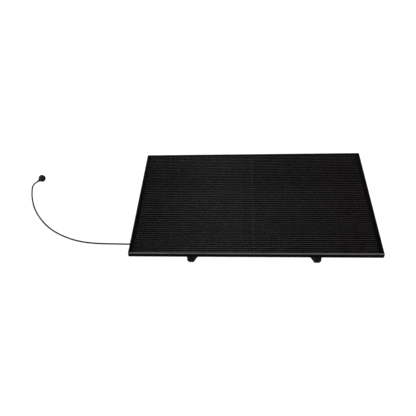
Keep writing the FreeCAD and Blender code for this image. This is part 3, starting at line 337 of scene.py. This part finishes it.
def wound_components():
    """Dark lacquered coils and cans with fine turns round them."""
    material, tree, shader = new_material("wound_components", (0.03, 0.022, 0.016), 0.35)
    source = object_place(tree)
    turn = 0.0004
    turns = spread(tree, maths(tree, "PINGPONG", axes(tree, source)["Z"], turn), 0, 1, 0, turn)
    cloud = noise(tree, source, 90, 3)
    lacquer = tones(tree, cloud, (0.3, (0.02, 0.015, 0.012)), (0.7, (0.05, 0.035, 0.022)))
    feed(tree, lacquer, shader, "Base Color")
    feed(tree, spread(tree, turns, 0.28, 0.5), shader, "Roughness")
    relief(tree, shader, turns, 0.00012)
    return material


def status_lens():
    """Green translucent lens with a faint frosting."""
    material, tree, shader = new_material("status_green", (0.02, 0.2, 0.06), 0.2)
    frost = noise(tree, object_place(tree), 900, 2)
    green = tones(tree, frost, (0.3, (0.012, 0.14, 0.04)), (0.7, (0.03, 0.26, 0.08)))
    feed(tree, green, shader, "Base Color")
    feed(tree, spread(tree, frost, 0.12, 0.3), shader, "Roughness")
    relief(tree, shader, frost, 0.00003)
    return material


def cell_silicon():
    """Black silicon: each cell has a tone of its own, with fine fingers across the ribbons."""
    material, tree, shader = new_material("cell_silicon", (0.006, 0.0065, 0.009), 0.42, specular=0.12)
    place = module_place(tree)
    parts = axes(tree, place)
    column = maths(tree, "FLOOR", maths(tree, "DIVIDE", parts["X"], CELL_PITCH[0]))
    from_middle = maths(tree, "SUBTRACT", parts["Y"], DEPTH / 2)
    row = maths(tree, "FLOOR", maths(tree, "DIVIDE", from_middle, CELL_PITCH[1]))
    index = add(tree, "ShaderNodeCombineXYZ", {"X": column, "Y": row}).outputs["Vector"]
    own = add(tree, "ShaderNodeTexWhiteNoise", {"Vector": index}).outputs["Value"]
    cloud = noise(tree, place, 9, 3)
    tone = maths(tree, "MULTIPLY_ADD", cloud, 0.35, maths(tree, "MULTIPLY", own, 0.65))
    half_pitch = 0.0007
    finger = spread(tree, maths(tree, "PINGPONG", parts["X"], half_pitch), 1.0, 0.0, 0.00002, 0.0001)
    base = tones(tree, tone, (0.1, (0.0015, 0.0016, 0.0022)), (0.9, (0.0035, 0.0038, 0.0052)))
    lined = blend(tree, maths(tree, "MULTIPLY", finger, 0.3), base, (0.012, 0.012, 0.014, 1))
    feed(tree, lined, shader, "Base Color")
    feed(tree, spread(tree, tone, 0.36, 0.5), shader, "Roughness")
    relief(tree, shader, finger, 0.00002)
    return material


def tinned_ribbon():
    """Flat tinned wire with a slight waviness; the string connectors at both ends are enamelled black."""
    material, tree, shader = new_material("tinned_ribbon", (0.6, 0.6, 0.61), 0.3, metallic=0.9)
    across = axes(tree, module_place(tree))["X"]
    enamel = maths(tree, "GREATER_THAN", maths(tree, "ABSOLUTE", across), STRING_END)
    wave = noise(tree, object_place(tree, (0.2, 1, 1)), 120, 3)
    base = tones(tree, wave, (0.35, (0.52, 0.52, 0.53)), (0.65, (0.68, 0.68, 0.69)))
    feed(tree, blend(tree, enamel, base, (0.004, 0.004, 0.004, 1)), shader, "Base Color")
    feed(tree, spread(tree, wave, 0.24, 0.38), shader, "Roughness")
    relief(tree, shader, wave, 0.00003)
    return material


def solar_glass():
    """Clear coated glass: what it lets through isn't bent, and its gloss grows at a glancing angle."""
    material, tree, shader = new_material("solar_glass", (0.02, 0.021, 0.023), 0.12)
    prism = noise(tree, object_place(tree), 900, 2)
    smear = noise(tree, object_place(tree), 5, 5, 0.6)
    clear = add(tree, "ShaderNodeBsdfTransparent", {"Color": (0.96, 0.955, 0.95, 1)})
    gloss = add(tree, "ShaderNodeBsdfGlossy", {"Color": (1.0, 0.98, 1.0, 1)})
    tree.links.new(spread(tree, smear, 0.09, 0.2, 0.3, 0.75), gloss.inputs["Roughness"])
    bump = add(tree, "ShaderNodeBump", {"Height": prism, "Distance": 0.000003, "Strength": 0.3})
    tree.links.new(bump.outputs["Normal"], gloss.inputs["Normal"])
    share = add(tree, "ShaderNodeFresnel", {"IOR": 1.16}).outputs["Fac"]
    mix_shaders(tree, share, clear, gloss)
    tree.nodes.remove(shader)
    return material


def clear_film():
    """Clear encapsulant with a trace of haze."""
    material, tree, shader = new_material("clear_film", (0.02, 0.02, 0.02), 0.3)
    haze = noise(tree, object_place(tree), 40, 3)
    clear = add(tree, "ShaderNodeBsdfTransparent", {"Color": (0.97, 0.975, 0.97, 1)})
    mix_shaders(tree, spread(tree, haze, 0.005, 0.02, 0.3, 0.7), clear, shader)
    return material


def backsheet_black():
    """Black polymer sheet: a fine emboss, with the cells and ribbons as a faint relief."""
    material, tree, shader = new_material("backsheet_black", (0.012, 0.012, 0.013), 0.5, specular=0.35)
    place = module_place(tree)
    parts = axes(tree, place)
    ribbon = maths(tree, "PINGPONG", parts["Y"], CELL[1] / (2 * RIBBONS))
    ribbon = spread(tree, ribbon, 1.0, 0.0, 0.0002, 0.0016)
    cell = maths(tree, "PINGPONG", parts["X"], CELL_PITCH[0] / 2)
    cell = spread(tree, cell, 1.0, 0.0, 0.0004, 0.0022)
    grain = noise(tree, place, 1400, 2)
    cloud = noise(tree, place, 6, 4)
    black = tones(tree, cloud, (0.3, (0.009, 0.009, 0.01)), (0.7, (0.017, 0.017, 0.018)))
    feed(tree, black, shader, "Base Color")
    feed(tree, spread(tree, grain, 0.42, 0.6), shader, "Roughness")
    under = relief(tree, shader, grain, 0.00003)
    relief(tree, shader, maths(tree, "SUBTRACT", ribbon, cell), 0.00012, under=under)
    return material


def board_green():
    """Solder mask over copper tracks."""
    material, tree, shader = new_material("board_green", (0.01, 0.07, 0.03), 0.3)
    place = object_place(tree)
    tracks = add(tree, "ShaderNodeTexVoronoi", {"Vector": place, "Scale": 220.0}, distance="MANHATTAN")
    line = spread(tree, tracks.outputs["Distance"], 0.0, 1.0, 0.25, 0.35)
    green = tones(tree, line, (0, (0.006, 0.045, 0.02)), (1, (0.012, 0.09, 0.04)))
    feed(tree, green, shader, "Base Color")
    relief(tree, shader, line, 0.00004)
    return material


# surfaces


def shell(points, capped=True):
    """The corners and faces of a tube-like grid: rows run along it and columns round it.

    With capped, the first and last rows are closed by one face each.
    """
    rows, columns = points.shape[:2]
    row, column = np.meshgrid(np.arange(rows - 1), np.arange(columns), indexing="ij")
    after = (column + 1) % columns
    low, high = row * columns, (row + 1) * columns
    corners = np.stack([low + column, low + after, high + after, high + column], axis=-1)
    faces = corners.reshape(-1, 4).tolist()
    if capped:
        faces.append(list(range(columns))[::-1])
        faces.append([(rows - 1) * columns + index for index in range(columns)])
    return points.reshape(-1, 3), faces


def piece(name, shells, material, body=None, nodes=()):
    """One object from several shells; with a body, it rides on it and stands for the given nodes."""
    corners, faces, count = [], [], 0
    for points, own_faces in shells:
        corners.append(points)
        faces.extend([[count + index for index in face] for face in own_faces])
        count += len(points)
    mesh = bpy.data.meshes.new(name)
    mesh.from_pydata(np.concatenate(corners).tolist(), [], faces)
    mesh.validate()
    mesh.materials.append(material)
    mesh.shade_smooth()
    mesh.set_sharp_from_angle(angle=math.radians(38))
    made = bpy.data.objects.new(name, mesh)
    bpy.context.scene.collection.objects.link(made)
    if body:
        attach(made, body)
        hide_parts(*nodes)
    return made


def moved(points, matrix):
    """Points of a piece's own frame in the object's frame."""
    return points @ matrix[:3, :3].T + matrix[:3, 3]


def placement(origin, x_axis, z_axis):
    """A matrix whose X and Z columns are the given directions."""
    x_axis = np.array(x_axis, float)
    z_axis = np.array(z_axis, float)
    x_axis /= np.linalg.norm(x_axis)
    z_axis /= np.linalg.norm(z_axis)
    matrix = np.eye(4)
    matrix[:3, :3] = np.stack([x_axis, np.cross(z_axis, x_axis), z_axis], axis=1)
    matrix[:3, 3] = origin
    return matrix


def turn_profile(profile, columns, lobes=0, lobe_depth=0.0):
    """A profile of radius, height and lobe share carried round the Z axis.

    Point(i, a) = (radius(i) + share(i) lobe_depth cos(lobes a)) (cos a, sin a), height(i).
    """
    angle = np.linspace(0, 2 * math.pi, columns, endpoint=False)
    radius = profile[:, :1]
    if lobes:
        radius = radius + profile[:, 2:3] * lobe_depth * np.cos(lobes * angle)
    else:
        radius = np.repeat(radius, columns, axis=1)
    height = np.broadcast_to(profile[:, 1:2], radius.shape)
    return np.stack([radius * np.cos(angle), radius * np.sin(angle), height], axis=-1)


def boot_profile(start, end, length, grooves):
    """The outline of a ribbed boot: its radius falls from start to end, with grooves 0.8 mm deep.

    Radius(t) = start + (end - start) t - 0.8 mm times the groove wave, which is a sine wave made four
    times as steep and cut off below 0 and above 1.
    """
    share = np.linspace(0, 1, 12 * grooves + 1)
    wave = np.clip(4 * np.sin(2 * math.pi * (share * grooves - 0.25)), 0, 1)
    wave[share > 0.94] = 0
    radius = start + (end - start) * share - 0.0008 * wave
    radius[0] -= 0.0004
    return np.stack([radius, share * length], axis=1)


def rounded_outline(half_x, half_y, corner, steps=5):
    """Points round a rectangle whose corners are quarter circles."""
    turn = np.linspace(0, math.pi / 2, steps)
    arcs = []
    for quarter, (sign_x, sign_y) in enumerate([(1, 1), (-1, 1), (-1, -1), (1, -1)]):
        angle = turn + quarter * math.pi / 2
        arcs.append(np.stack([
            sign_x * (half_x - corner) + corner * np.cos(angle),
            sign_y * (half_y - corner) + corner * np.sin(angle),
        ], axis=1))
    return np.concatenate(arcs)


def stacked(outline_of, levels):
    """Outlines stacked in height: a level (inset, height) gives outline_of(inset) at that height."""
    rows = []
    for inset, height in levels:
        flat = outline_of(inset)
        rows.append(np.concatenate([flat, np.full((len(flat), 1), height)], axis=1))
    return np.array(rows)


# the stage, the plug and the mains lead

CORD_ROUTE = [
    (-0.763, -0.304, 0.044), (-0.803, -0.304, 0.044), (-0.842, -0.3037, 0.030),
    (-0.882, -0.303, 0.0115), (-0.926, -0.302, 0.0061), (-0.986, -0.300, 0.0061),
    (-1.064, -0.2988, 0.0061), (-1.150, -0.2965, 0.0061), (-1.237, -0.288, 0.0061),
    (-1.326, -0.269, 0.0061), (-1.416, -0.234, 0.0061), (-1.510, -0.184, 0.0061),
    (-1.600, -0.119, 0.0061), (-1.684, -0.036, 0.0061), (-1.762, 0.058, 0.0061),
    (-1.829, 0.160, 0.0061), (-1.883, 0.268, 0.0061), (-1.914, 0.344, 0.0064),
    (-1.930, 0.394, 0.009), (-1.938, 0.430, 0.020), (-1.93385, 0.46601, 0.030),
    (-1.91569, 0.50165, 0.030),
]
PLUG_CENTRE = (-1.888, 0.556, 0.030)
PLUG_TURN = math.radians(243)
PLUG_EXIT = (math.cos(PLUG_TURN), math.sin(PLUG_TURN), 0)
PLUG_FACING = (math.sin(PLUG_TURN), -math.cos(PLUG_TURN), 0)
PLUG = placement(PLUG_CENTRE, PLUG_EXIT, PLUG_FACING)
PLUG_RADIUS = 0.030
PLUG_HALF = 0.015  # half its thickness
NECK_RADIUS = 0.011
NECK_END = 0.039
BOOT_RADII = (0.0092, 0.0067)
GLAND_END = (-0.735, -0.304, 0.044)
PIN_PLACE = 0.0095  # of each pin, to either side of the plug's middle
EARTH_PLACE = 0.019  # of each earth contact


class SOLAR_OT_stage(bpy.types.Operator):
    """Make the floor, the light and the camera"""

    bl_idname = "solar.stage"
    bl_label = "Stage"

    def execute(self, context):
        settings = context.scene.solar_stage
        scene = context.scene
        material, tree, shader = new_material("studio_white", settings.floor_colour, 0.9, specular=0.0)
        shader.inputs["Emission Color"].default_value = (1, 1, 1, 1)
        shader.inputs["Emission Strength"].default_value = settings.floor_glow
        radius = np.array([0.01, 2, 5, 11, 12, 13, 13.7, 14, 14, 14])
        height = np.array([0, 0, 0, 0, 0.1, 0.5, 1.3, 2.6, 6, 16.0])
        profile = np.stack([radius, height], axis=1)[::-1]
        studio = piece("studio", [shell(turn_profile(profile, 96), capped=False)], material)
        studio.visible_glossy = False
        studio.visible_transmission = False
        studio.visible_shadow = False
        scene.view_settings.view_transform = "Standard"
        self.sky(scene)
        lamp = bpy.data.lights.new("key", "SUN")
        lamp.energy = settings.key_strength
        lamp.angle = KEY_SOFTNESS
        key = bpy.data.objects.new("key", lamp)
        key.rotation_euler = (math.radians(90) - KEY_RISE, 0, KEY_HEADING)
        scene.collection.objects.link(key)
        self.camera(scene, settings)
        return {"FINISHED"}

    @staticmethod
    def sky(scene):
        """A dim room: pale low down all round, dark overhead, cooler on the left than on the right."""
        world = bpy.data.worlds.new("room")
        scene.world = world
        world.use_nodes = True
        tree = world.node_tree
        place = add(tree, "ShaderNodeTexCoord").outputs["Generated"]
        parts = axes(tree, place)
        side = tones(
            tree, spread(tree, parts["X"], 0, 1, -0.6, 0.6),
            (0.0, (0.5, 0.52, 0.6)), (0.34, (0.36, 0.36, 0.41)), (0.46, (1.0, 1.0, 1.08)),
            (0.56, (0.5, 0.48, 0.47)), (0.68, (0.38, 0.33, 0.3)), (1.0, (0.6, 0.52, 0.45)),
        )
        rise = tones(
            tree, spread(tree, parts["Z"], 0, 1, -1, 1),
            (0.0, (0.04, 0.04, 0.04)), (0.48, (0.15, 0.15, 0.15)), (0.62, (0.5, 0.5, 0.5)),
            (0.88, (0.4, 0.4, 0.4)), (0.96, (0.5, 0.5, 0.5)), (1.0, (0.5, 0.5, 0.5)),
        )
        both = blend(tree, 1.0, side, rise, blend_type="MULTIPLY")
        tree.links.new(both, tree.nodes["Background"].inputs["Color"])
        tree.nodes["Background"].inputs["Strength"].default_value = 1.0

    @staticmethod
    def camera(scene, settings):
        """Point the camera by its heading, fall and roll."""
        yaw, pitch, roll = settings.camera_turn
        flat = math.cos(pitch)
        ahead = np.array([math.sin(yaw) * flat, math.cos(yaw) * flat, -math.sin(pitch)])
        level = np.array([math.cos(yaw), -math.sin(yaw), 0])
        over = np.cross(level, ahead)
        right = math.cos(roll) * level + math.sin(roll) * over
        up = -math.sin(roll) * level + math.cos(roll) * over
        data = bpy.data.cameras.new("camera")
        data.lens = settings.lens
        data.sensor_width = 36.0
        view = bpy.data.objects.new("camera", data)
        matrix = np.eye(4)
        matrix[:3, :3] = np.stack([right, up, -ahead], axis=1)
        matrix[:3, 3] = settings.camera_place
        view.matrix_world = Matrix(matrix.tolist())
        scene.collection.objects.link(view)
        scene.camera = view


def plug_surface():
    """The plug's disc flowing into its neck, in the plug's own frame.

    R(a, z) = (R0(z)^8 + Rn(a, z)^8)^(1/8): R0 is the disc's ribbed outline and Rn reaches the neck's
    side, min(w(z) / |sin a|, NECK_END / cos a), where w(z) = sqrt(NECK_RADIUS^2 - z^2) is its half width.
    """
    edge = np.linspace(0, math.pi / 2, 9)
    back = np.stack([0.023 + 0.007 * np.sin(edge), -0.008 - 0.007 * np.cos(edge)], axis=1)
    height = NECK_RADIUS * np.sin(np.linspace(-0.5, 1.0, 43)[1:] * math.pi / 2)
    ribs = 0.0006 * np.clip(2 * np.cos(2 * math.pi * height / 0.0034), 0, 1) * (np.abs(height) < 0.0095)
    rim = np.stack([PLUG_RADIUS - ribs, height], axis=1)
    front = np.stack([0.0288 + 0.0012 * np.cos(edge), 0.0138 + 0.0012 * np.sin(edge)], axis=1)
    inner = [(0.0003, -0.0143), (0.0105, -0.0143), (0.0112, -0.015), (0.022, -0.015)]
    outer = [(0.0196, PLUG_HALF), (0.0192, 0.0146), (0.0003, 0.0146)]
    profile = np.concatenate([inner, back, rim, front, outer])
    angle = np.linspace(-math.pi, math.pi, 180, endpoint=False) + math.pi / 180
    half_width = np.sqrt(np.clip(NECK_RADIUS**2 - profile[:, 1:] ** 2, 0, None))
    side = half_width / np.abs(np.sin(angle))
    end = NECK_END / np.clip(np.cos(angle), 0.05, 1)
    neck = np.where(np.cos(angle) > 0.05, np.minimum(side, end), 0)
    radius = (profile[:, :1] ** 8 + neck**8) ** 0.125
    radius = np.minimum(radius, NECK_END / np.clip(np.cos(angle), 0.6, 1))
    depth = np.broadcast_to(profile[:, 1:], radius.shape)
    return np.stack([radius * np.cos(angle), radius * np.sin(angle), depth], axis=-1)


class SOLAR_OT_plug(bpy.types.Operator):
    """Make the angled plug, its insert, its pins and the two ribbed boots"""

    bl_idname = "solar.plug"
    bl_label = "Plug and boots"

    def execute(self, context):
        moulding = coated("plug_black", (0.006, 0.006, 0.0063), 0.5, 1400, 0.00004)
        soft = rubber("boot_rubber", (0.006, 0.006, 0.0062), 0.55)
        grey = coated("insert_grey", (0.03, 0.03, 0.031), 0.45, 1600, 0.00003)
        nickel = turned_steel("nickelled_brass", (0.62, 0.58, 0.5), 0.25)
        body = shell(moved(plug_surface(), PLUG))
        piece("plug_shell", [body], moulding, "root", ["plug_body"])
        insert = np.array([
            (0.0003, 0.0147), (0.0186, 0.0147), (0.0186, 0.0212), (0.0183, 0.0218), (0.0178, 0.022),
            (0.0146, 0.022), (0.0142, 0.0216), (0.0066, 0.0216), (0.0062, 0.022), (0.0003, 0.022),
        ])
        face = shell(moved(turn_profile(insert, 72), PLUG))
        piece("plug_insert", [face], grey, "root", ["plug_face"])
        tip = np.linspace(0, math.pi / 2, 7)[:-1]
        rounded = np.stack([0.0004 + 0.002 * np.cos(tip), 0.039 + 0.002 * np.sin(tip)], axis=1)
        shank = [(0.0024, 0.0215), (0.0024, 0.0315), (0.0023, 0.0318)]
        pin = turn_profile(np.concatenate([shank, rounded, [(0.0002, 0.041)]]), 28)
        strip = stacked(lambda inset: rounded_outline(0.0004 - inset, 0.004 - inset, 0.0003 - inset), [
            (0.0001, 0.015), (0.0, 0.0152), (0.0, 0.0237), (0.0001, 0.024),
        ])
        contacts = [shell(moved(pin + (0, place, 0), PLUG)) for place in (-PIN_PLACE, PIN_PLACE)]
        contacts += [shell(moved(strip + (place, 0, 0), PLUG)) for place in (-EARTH_PLACE, EARTH_PLACE)]
        piece("plug_pins", contacts, nickel, "root", ["plug_contacts"])
        neck_end = moved(np.array([NECK_END, 0, 0]), PLUG)
        at_plug = placement(neck_end, PLUG_FACING, PLUG_EXIT)
        at_gland = placement(GLAND_END, (0, 1, 0), (-1, 0, 0))
        for name, place, length, grooves, node in (
            ("plug_boot", at_plug, 0.022, 4, "plug_relief"), ("lead_boot", at_gland, 0.028, 6, "cord_relief"),
        ):
            boot = turn_profile(boot_profile(*BOOT_RADII, length, grooves), 48)
            piece(name, [shell(moved(boot, place))], soft, "root", [node])
        return {"FINISHED"}


class SOLAR_OT_mains_lead(bpy.types.Operator):
    """Make the mains lead"""

    bl_idname = "solar.mains_lead"
    bl_label = "Mains lead"

    def execute(self, context):
        settings = context.scene.solar_cord
        curve = bpy.data.curves.new("lead", "CURVE")
        curve.dimensions = "3D"
        curve.resolution_u = 8
        curve.bevel_depth = settings.diameter / 2
        curve.bevel_resolution = 6
        curve.use_fill_caps = True
        spline = curve.splines.new("NURBS")
        spline.points.add(len(CORD_ROUTE) - 1)
        route = np.concatenate([np.array(CORD_ROUTE), np.ones((len(CORD_ROUTE), 1))], axis=1)
        spline.points.foreach_set("co", route.ravel())
        spline.order_u = 3
        spline.use_endpoint_u = True
        curve.materials.append(rubber("lead_sheath", (0.006, 0.006, 0.0062), 0.5))
        lead = bpy.data.objects.new("lead", curve)
        context.scene.collection.objects.link(lead)
        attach(lead, "root")
        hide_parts("mains_cord")
        return {"FINISHED"}


# cells, junction lids, knobs and pads

MODULE = placement((0, FRONT_EDGE, FRONT_HEIGHT), (1, 0, 0), (0, -math.sin(TILT), math.cos(TILT)))
LID_TOP = -0.023
LID_DEPTH = 0.0024
JUNCTION_PITCH = 0.346


def half_cell(left, low, chamfer, cut_side):
    """A half cell: a thin plate whose two outer corners, away from its cut side, are cut off.

    Its outline has six points; cut_side is -1 when the cut edge is on the left and 1 on the right.
    """
    width, depth = CELL
    outline = np.array([
        (0, 0), (width - chamfer, 0), (width, chamfer),
        (width, depth - chamfer), (width - chamfer, depth), (0, depth),
    ])
    if cut_side > 0:
        outline = (outline * (-1, 1) + (width, 0))[::-1]
    outline = outline + (left, low)
    return stacked(lambda inset: outline, [(0, CELL_BACK), (0, CELL_TOP)])


class SOLAR_OT_cells(bpy.types.Operator):
    """Make the half cells with their cut corners"""

    bl_idname = "solar.cells"
    bl_label = "Half cells"

    def execute(self, context):
        chamfer = context.scene.solar_module.cell_chamfer
        shells = []
        row_gap = CELL_PITCH[1] - CELL[1]
        for side in (-1, 1):
            for column in range(10):
                near = CENTRE_GAP / 2 + column * CELL_PITCH[0]
                left = near if side > 0 else -near - CELL[0]
                for row in range(-3, 3):
                    low = DEPTH / 2 + row * CELL_PITCH[1] + row_gap / 2
                    cut_side = 1 if column % 2 else -1
                    shells.append(shell(moved(half_cell(left, low, chamfer, cut_side * side), MODULE)))
        piece("half_cells", shells, cell_silicon(), "module", ["solar_cells"])
        return {"FINISHED"}


class SOLAR_OT_junction_lids(bpy.types.Operator):
    """Make the rounded lids of the junction boxes, each with a raised field"""

    bl_idname = "solar.junction_lids"
    bl_label = "Junction lids"

    def execute(self, context):
        material = coated("lid_black", (0.011, 0.011, 0.0115), 0.5, 1300, 0.00004)
        floor = LID_TOP - LID_DEPTH
        levels = [
            (0.0270, floor + 0.0006), (0.0150, floor + 0.0006), (0.0144, floor), (0.0110, floor),
            (0.0104, floor + 0.0008), (0.0072, floor + 0.0008), (0.0066, floor), (0.0012, floor),
            (0.0004, floor + 0.0003), (0.0, floor + 0.001), (0.0, LID_TOP),
        ]

        def outline(inset):
            return rounded_outline(0.045 - inset, 0.028 - inset, max(0.006 - inset, 0.0008))

        lid = stacked(outline, levels)
        shells = [
            shell(moved(lid + (0, DEPTH / 2 + row * JUNCTION_PITCH, 0), MODULE)) for row in (-1, 0, 1)
        ]
        piece("ribbed_lids", shells, material, "module", ["junction_lids"])
        return {"FINISHED"}


KNOB_LOBES = 7
WASHER_RADIUS = 0.008
KNOB_PROFILE = np.array([
    (0.006, 0, 0), (0.0152, 0, 0.8), (0.0165, 0.0008, 1), (0.0169, 0.0022, 1), (0.017, 0.004, 1),
    (0.017, 0.0108, 1), (0.0166, 0.0126, 1), (0.0154, 0.0138, 0.85), (0.0135, 0.0143, 0.5),
    (0.0121, 0.0148, 0.15), (0.0113, 0.0158, 0), (0.0109, 0.0174, 0), (0.0103, 0.0186, 0),
    (0.0094, 0.019, 0), (0.0084, 0.0187, 0), (0.0077, 0.0179, 0), (0.0072, 0.0176, 0), (0.0003, 0.0176, 0),
])


class SOLAR_OT_knobs(bpy.types.Operator):
    """Make the two star knobs with dished tops"""

    bl_idname = "solar.knobs"
    bl_label = "Star knobs"

    def execute(self, context):
        material = coated("knob_black", (0.011, 0.011, 0.0115), 0.45, 900, 0.00006)
        surface = turn_profile(KNOB_PROFILE, 140, KNOB_LOBES, context.scene.solar_module.knob_lobe)
        for side, sign in (("left", -1), ("right", 1)):
            low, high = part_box(f"star_knob_{side}")
            inner = low[0] if sign > 0 else high[0]
            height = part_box(f"clamp_washers_{side}")[0][2] + WASHER_RADIUS
            cap = shell(moved(surface, placement((inner, CLAMP_PLACE, height), (0, 0, 1), (sign, 0, 0))))
            replaced = [f"star_knob_{side}"]
            piece(f"knob_{side}_cap", [cap], material, f"knob_{side}", replaced)
        return {"FINISHED"}


class SOLAR_OT_floor_pads(bpy.types.Operator):
    """Make the ribbed rubber pads under the base rails"""

    bl_idname = "solar.floor_pads"
    bl_label = "Floor pads"

    def execute(self, context):
        rib = context.scene.solar_module.pad_rib
        material = rubber("pad_rubber", (0.009, 0.009, 0.009), 0.7)
        half_x, half_y, thickness = 0.018, 0.030, 0.006

        def outline(inset):
            """A rectangle with ribbed long sides: x loses rib (0.5 + 0.5 cos(2 pi y / 5 mm))."""
            share = np.linspace(-1, 1, 61)[:, None]
            wave = rib * (0.5 + 0.5 * np.cos(2 * math.pi * share * half_y / 0.005))
            end = np.clip(np.abs(share) - 0.93, 0, 1) / 0.07
            across = (half_x - inset) - wave * (end == 0) - 0.002 * end**2
            right = np.concatenate([across, share * (half_y - inset)], axis=1)
            return np.concatenate([right, (right * (-1, 1))[::-1]])

        levels = [(0.0012, 0), (0.0002, 0.0008), (0, 0.0016), (0, 0.0048), (0.0002, thickness)]
        pad = stacked(outline, levels)
        low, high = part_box("rubber_pads")
        rail_low, rail_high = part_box("base_rail_left")
        rows = (low[1] + half_y, (rail_low[1] + rail_high[1]) / 2, high[1] - half_y)
        shells = [shell(pad + (side * SUPPORT_PLACE, row, 0)) for side in (-1, 1) for row in rows]
        piece("ribbed_pads", shells, material, "root", ["rubber_pads"])
        return {"FINISHED"}


def soften(node, width):
    """Merges a node's loose triangles, joins flat ones into faces and rounds the edges between them."""
    weld = node.modifiers.new("merge", "WELD")
    weld.merge_threshold = 0.000005
    flatten = node.modifiers.new("flat", "DECIMATE")
    flatten.decimate_type = "DISSOLVE"
    flatten.angle_limit = math.radians(1)
    bevel = node.modifiers.new("edge", "BEVEL")
    bevel.width = width
    bevel.segments = 2
    bevel.limit_method = "ANGLE"
    bevel.angle_limit = math.radians(40)
    bevel.use_clamp_overlap = True
    bevel.harden_normals = True


SOFT_METAL = [
    "frame_front", "frame_rear", "frame_left", "frame_right", "carrier_rail_left", "carrier_rail_right",
    "base_rail_left", "base_rail_right", "strut_left", "strut_right", "front_foot_left", "front_foot_right",
    "cross_rail", "rail_cleats", "inverter_case", "inverter_lid",
]
SOFT_MOULDED = ["junction_boxes", "carrier_end_caps", "rail_end_caps"]


class SOLAR_OT_soft_edges(bpy.types.Operator):
    """Round the edges of the extrusions, castings and moulded parts"""

    bl_idname = "solar.soft_edges"
    bl_label = "Soft edges"

    def execute(self, context):
        settings = context.scene.solar_edges
        for name in SOFT_METAL:
            soften(NODES[name], settings.metal)
        for name in SOFT_MOULDED:
            soften(NODES[name], settings.moulded)
        return {"FINISHED"}


FINISHES = {
    # the low rail's lip carries a painted highlight
    "frame_low": (rail_with_painted_sheen, (), ["frame_front"]),
    "frame_x": (anodised, ("frame_x", (0.006, 0.006, 0.0065), 0.42, "x"), ["frame_rear", "cross_rail"]),
    "frame_y": (anodised, ("frame_y", (0.006, 0.006, 0.0065), 0.42, "y"), ["frame_left", "frame_right"]),
    "rail_y": (anodised, ("rail_y", (0.012, 0.012, 0.0125), 0.48, "y"), [
        "carrier_rail_left", "carrier_rail_right", "base_rail_left", "base_rail_right", "strut_left",
        "strut_right", "rail_cleats",
    ]),
    "cast_black": (coated, ("cast_black", (0.006, 0.006, 0.0062), 0.5, 500, 0.00012), [
        "front_foot_left", "front_foot_right",
    ]),
    "mill_aluminium": (turned_steel, ("mill_aluminium", (0.5, 0.51, 0.52), 0.4), [
        "corner_keys", "hinge_lugs", "foot_blocks",
    ]),
    "moulded_black": (coated, ("moulded_black", (0.01, 0.01, 0.0105), 0.5, 1400, 0.00004), [
        "junction_boxes", "junction_outlets", "inverter_inlets", "carrier_end_caps", "rail_end_caps",
        "cord_gland", "gland_nut",
    ]),
    "stainless": (turned_steel, ("stainless", (0.42, 0.42, 0.43), 0.33), [
        "hinge_bolts", "hinge_nuts", "ear_screws", "cross_rail_bolts", "module_bolts",
        "carrier_nuts", "strut_pivot_bolts", "lug_screws", "clamp_bolt_left", "clamp_bolt_right",
        "clamp_washers_left", "clamp_washers_right", "lid_screws",
    ]),
    "blackened_steel": (turned_steel, ("blackened_steel", (0.045, 0.045, 0.047), 0.45), ["foot_bolts"]),
    "case_metal": (coated, ("case_metal", (0.03, 0.03, 0.032), 0.5, 700, 0.0001), [
        "inverter_case", "inverter_lid",
    ]),
    "seal": (rubber, ("silicone_black", (0.008, 0.008, 0.008), 0.6), ["edge_seal"]),
    "diode": (coated, ("diode_black", (0.015, 0.015, 0.016), 0.4, 600, 0.00003), ["bypass_diodes"]),
    "coils": (wound_components, (), ["inverter_components"]),
    "lens": (status_lens, (), ["status_lens"]),
    "tinned_ribbon": (tinned_ribbon, (), ["cell_ribbons"]),
    "solar_glass": (solar_glass, (), ["front_glass"]),
    "clear_film": (clear_film, (), ["encapsulant_films"]),
    "backsheet_black": (backsheet_black, (), ["backsheet"]),
    "board_green": (board_green, (), ["inverter_board"]),
}


class SOLAR_OT_finishes(bpy.types.Operator):
    """Give every part of the frame its finish"""

    bl_idname = "solar.finishes"
    bl_label = "Finishes"

    def execute(self, context):
        for maker, arguments, names in FINISHES.values():
            material = maker(*arguments)
            for name in names:
                mesh = NODES[name].data
                mesh.materials.clear()
                mesh.materials.append(material)
        return {"FINISHED"}


OPERATORS = [
    SOLAR_OT_stage, SOLAR_OT_plug, SOLAR_OT_mains_lead, SOLAR_OT_cells, SOLAR_OT_junction_lids,
    SOLAR_OT_knobs, SOLAR_OT_floor_pads, SOLAR_OT_soft_edges, SOLAR_OT_finishes,
]


class SOLAR_PT_panel(bpy.types.Panel):
    """Lists the steps that build the module's looks"""

    bl_label = "Solar Module"
    bl_idname = "SOLAR_PT_panel"
    bl_space_type = "VIEW_3D"
    bl_region_type = "UI"
    bl_category = "Solar Module"

    def draw(self, context):
        for operator in OPERATORS:
            self.layout.operator(operator.bl_idname)


CLASSES = [*SETTINGS.values(), *OPERATORS, SOLAR_PT_panel]


def register():
    """Register the settings, the operators and the panel."""
    for item in CLASSES:
        bpy.utils.register_class(item)
    for name, group in SETTINGS.items():
        setattr(bpy.types.Scene, name, bpy.props.PointerProperty(type=group))


def unregister():
    """Take them away again."""
    for name in SETTINGS:
        delattr(bpy.types.Scene, name)
    for item in reversed(CLASSES):
        bpy.utils.unregister_class(item)


def main():
    """Run every step."""
    register()
    for operator in OPERATORS:
        group, name = operator.bl_idname.split(".")
        getattr(getattr(bpy.ops, group), name)()


if __name__ == "__main__":
    main()
